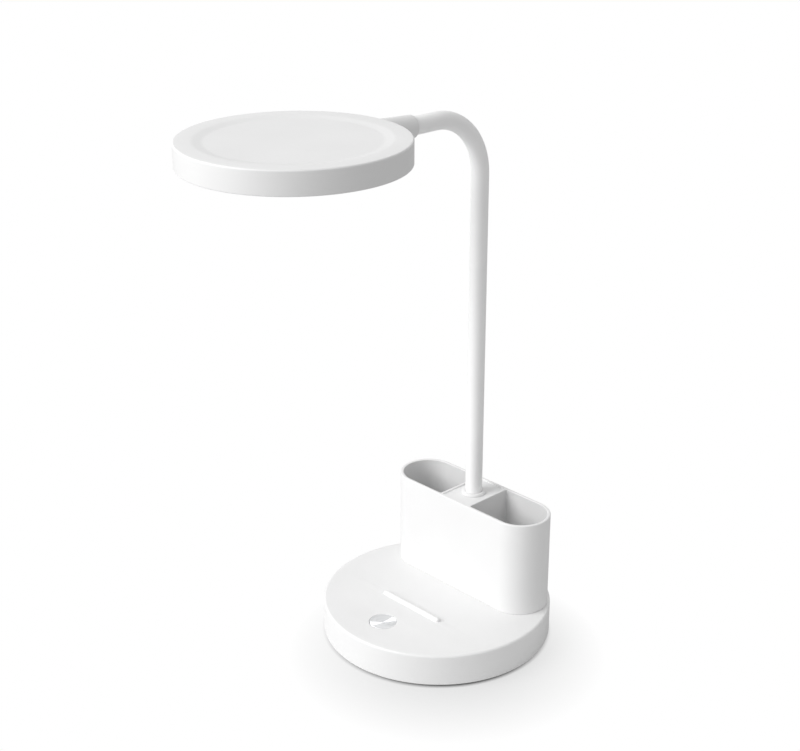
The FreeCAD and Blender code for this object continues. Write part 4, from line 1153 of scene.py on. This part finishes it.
# Where the underside of each screw head sits.
SEATS = {
    "base_screws": [(x, y, 2.925) for x in (-41.012, 41.012) for y in (-41.012, 41.012)]
    + [(x, y, 19.0) for x in (-8.0, 8.0) for y in (18.05, 44.95)],
    "board_screws": [(x, KEY_Y, 12.8) for x in (-11.8, 11.8)]
    + [(x, 57.1, 8.2) for x in (-14.8, 14.8)],
    "led_screws": [(-32.909, -86.5, 321.4), (32.909, -86.5, 321.4), (0.0, -143.5, 321.4)],
}
screws = screw_tree(plated)
for node, body, sizes in (
    ("base_screws", "base", CASE_SCREW),
    ("board_screws", "base", None),
    ("led_screws", "head", LED_SCREW),
):
    join_in(drawn_by(screws, f"drawn_{node}", SEATS[node], sizes), "screw_steel", body, node)
chips = drawn_by(chip_tree(bright_mask, phosphor_resin), "led_packages")
join_in(chips, "led_resin", "head", "led_chips")

for material, nodes in (
    (abs_base, ["bottom_cover"]),
    (plated, ["ballast_plate", "head_clip"]),
    (carbon_foam, ["touch_contact"]),
    (green_mask, ["touch_board", "charge_board"]),
    (foil, ["battery_pack"]),
    (vinyl, ["battery_lead", "touch_lead", "lamp_lead", "head_lead"]),
    (vinyl, [f"neck_wire_{number}" for number in range(10)]),
    (link_steel, [f"neck_link_{number}" for number in range(10)]),
    (brass, ["neck_ferrule", "neck_nut", "head_ferrule"]),
    (bright_mask, ["led_board"]),
    (abs_polished, ["reflector"]),
):
    for node in nodes:
        mesh = frame["nodes"][node].data
        mesh.materials.clear()
        mesh.materials.append(material)


# ---------------------------------------------------------------- floor, light and camera


def floor():
    """A plain white floor. The camera sees it white, with a painted shadow round the lamp: in a
    circle set off towards the front right it fades to a grey that the real light only partly
    lights, and under the base it has no glow, which paints the shade there. All other rays see pale
    grey paper, a little lighter close to the base."""
    reach, foot, soft = 6.0, BASE_RADIUS * MM, 1.5 * MM
    open_glow, shaded_tone = 0.54, 0.22
    painted_shadow_middle, painted_shadow_start, painted_shadow_end = (0.025, -0.016, 0.0), 0.035, 0.096
    paper_near, paper_far, near, far = 0.72, 0.54, 0.12, 0.5
    mesh = bpy.data.meshes.new("floor")
    corners = [(-reach, -reach, 0), (reach, -reach, 0), (reach, reach, 0), (-reach, reach, 0)]
    mesh.from_pydata(corners, [], [(0, 1, 2, 3)])
    made = put("floor", mesh)
    material = bpy.data.materials.new("Paper, matte white")
    material.use_nodes = True
    tree = material.node_tree
    tree.nodes.clear()
    place = add(tree, "ShaderNodeTexCoord").outputs["Object"]
    from_base = add(tree, "ShaderNodeVectorMath", {0: place}, operation="LENGTH").outputs["Value"]
    # The glow is left out under the base, which paints the shade in the gap beneath it.
    lit = {"Value": from_base, "From Min": foot - soft, "From Max": foot + soft}
    lit = add(tree, "ShaderNodeMapRange", {**lit, "To Max": open_glow})
    near_tone = add(tree, "ShaderNodeBsdfDiffuse", {"Color": (*[shaded_tone] * 3, 1)})
    glow = {"Color": (1, 1, 1, 1), "Strength": lit.outputs["Result"]}
    glow = add(tree, "ShaderNodeEmission", glow)
    shaded = add(tree, "ShaderNodeAddShader", {0: near_tone.outputs[0], 1: glow.outputs[0]})
    # A painted shadow: round this point the camera sees the floor fade from its shaded tone to pure
    # white.
    from_shade = {0: place, 1: painted_shadow_middle}
    from_shade = add(tree, "ShaderNodeVectorMath", from_shade, operation="DISTANCE")
    fade = {"Value": from_shade.outputs["Value"], "From Min": painted_shadow_start, "From Max": painted_shadow_end}
    fade = add(tree, "ShaderNodeMapRange", fade)
    white = add(tree, "ShaderNodeEmission", {"Color": (1, 1, 1, 1), "Strength": 1.0})
    seen = {"Fac": fade.outputs["Result"], 1: shaded.outputs[0], 2: white.outputs[0]}
    seen = add(tree, "ShaderNodeMixShader", seen)
    bounce = {"Value": from_base, "From Min": near, "From Max": far}
    bounce = {**bounce, "To Min": paper_near, "To Max": paper_far}
    bounce = add(tree, "ShaderNodeMapRange", bounce)
    paper = add(tree, "ShaderNodeBsdfDiffuse", {"Color": bounce.outputs["Result"]})
    ray = add(tree, "ShaderNodeLightPath")
    either = {"Fac": ray.outputs["Is Camera Ray"], 1: paper.outputs[0], 2: seen.outputs[0]}
    either = add(tree, "ShaderNodeMixShader", either)
    add(tree, "ShaderNodeOutputMaterial", {"Surface": either.outputs[0]})
    mesh.materials.append(material)


def world():
    """An even white surround. The camera, the glossy and the clear surfaces see it pure white."""
    sky_light = 0.58
    made = bpy.data.worlds.new("surround")
    made.use_nodes = True
    tree = made.node_tree
    tree.nodes.clear()
    ray = add(tree, "ShaderNodeLightPath").outputs
    either = {0: ray["Is Camera Ray"], 1: ray["Is Transmission Ray"]}
    either = add(tree, "ShaderNodeMath", either, operation="MAXIMUM")
    seen = {0: either.outputs[0], 1: ray["Is Glossy Ray"]}
    seen = add(tree, "ShaderNodeMath", seen, operation="MAXIMUM")
    strength = {"Value": seen.outputs[0], "To Min": sky_light, "To Max": 1.0}
    strength = add(tree, "ShaderNodeMapRange", strength)
    sky = {"Color": (1, 1, 1, 1), "Strength": strength.outputs["Result"]}
    sky = add(tree, "ShaderNodeBackground", sky)
    add(tree, "ShaderNodeOutputWorld", {"Surface": sky.outputs[0]})
    bpy.context.scene.world = made


def window():
    """A wide soft light, high in front of the lamp and to its left."""
    light = bpy.data.lights.new("window", "AREA")
    light.shape = "SQUARE"
    light.size = 1.5
    light.energy = 42.5
    made = put("window", light)
    made.location = (-0.71, -1.77, 1.39)
    towards = Vector((0, 0, 0.10)) - made.location
    made.rotation_euler = towards.to_track_quat("-Z", "Y").to_euler()


def camera():
    """The camera, in front of the lamp to its right and a little above it."""
    made = put("camera", bpy.data.cameras.new("camera"))
    made.data.lens = 70.13
    made.data.sensor_width = 36.0
    made.location = (0.5910, -0.5972, 0.5204)
    aim = Vector((-0.0330, 0.0, 0.1582)) - made.location
    made.rotation_euler = aim.to_track_quat("-Z", "Y").to_euler()
    bpy.context.scene.camera = made


floor()
world()
window()
camera()
bpy.context.scene.view_settings.view_transform = "Standard"
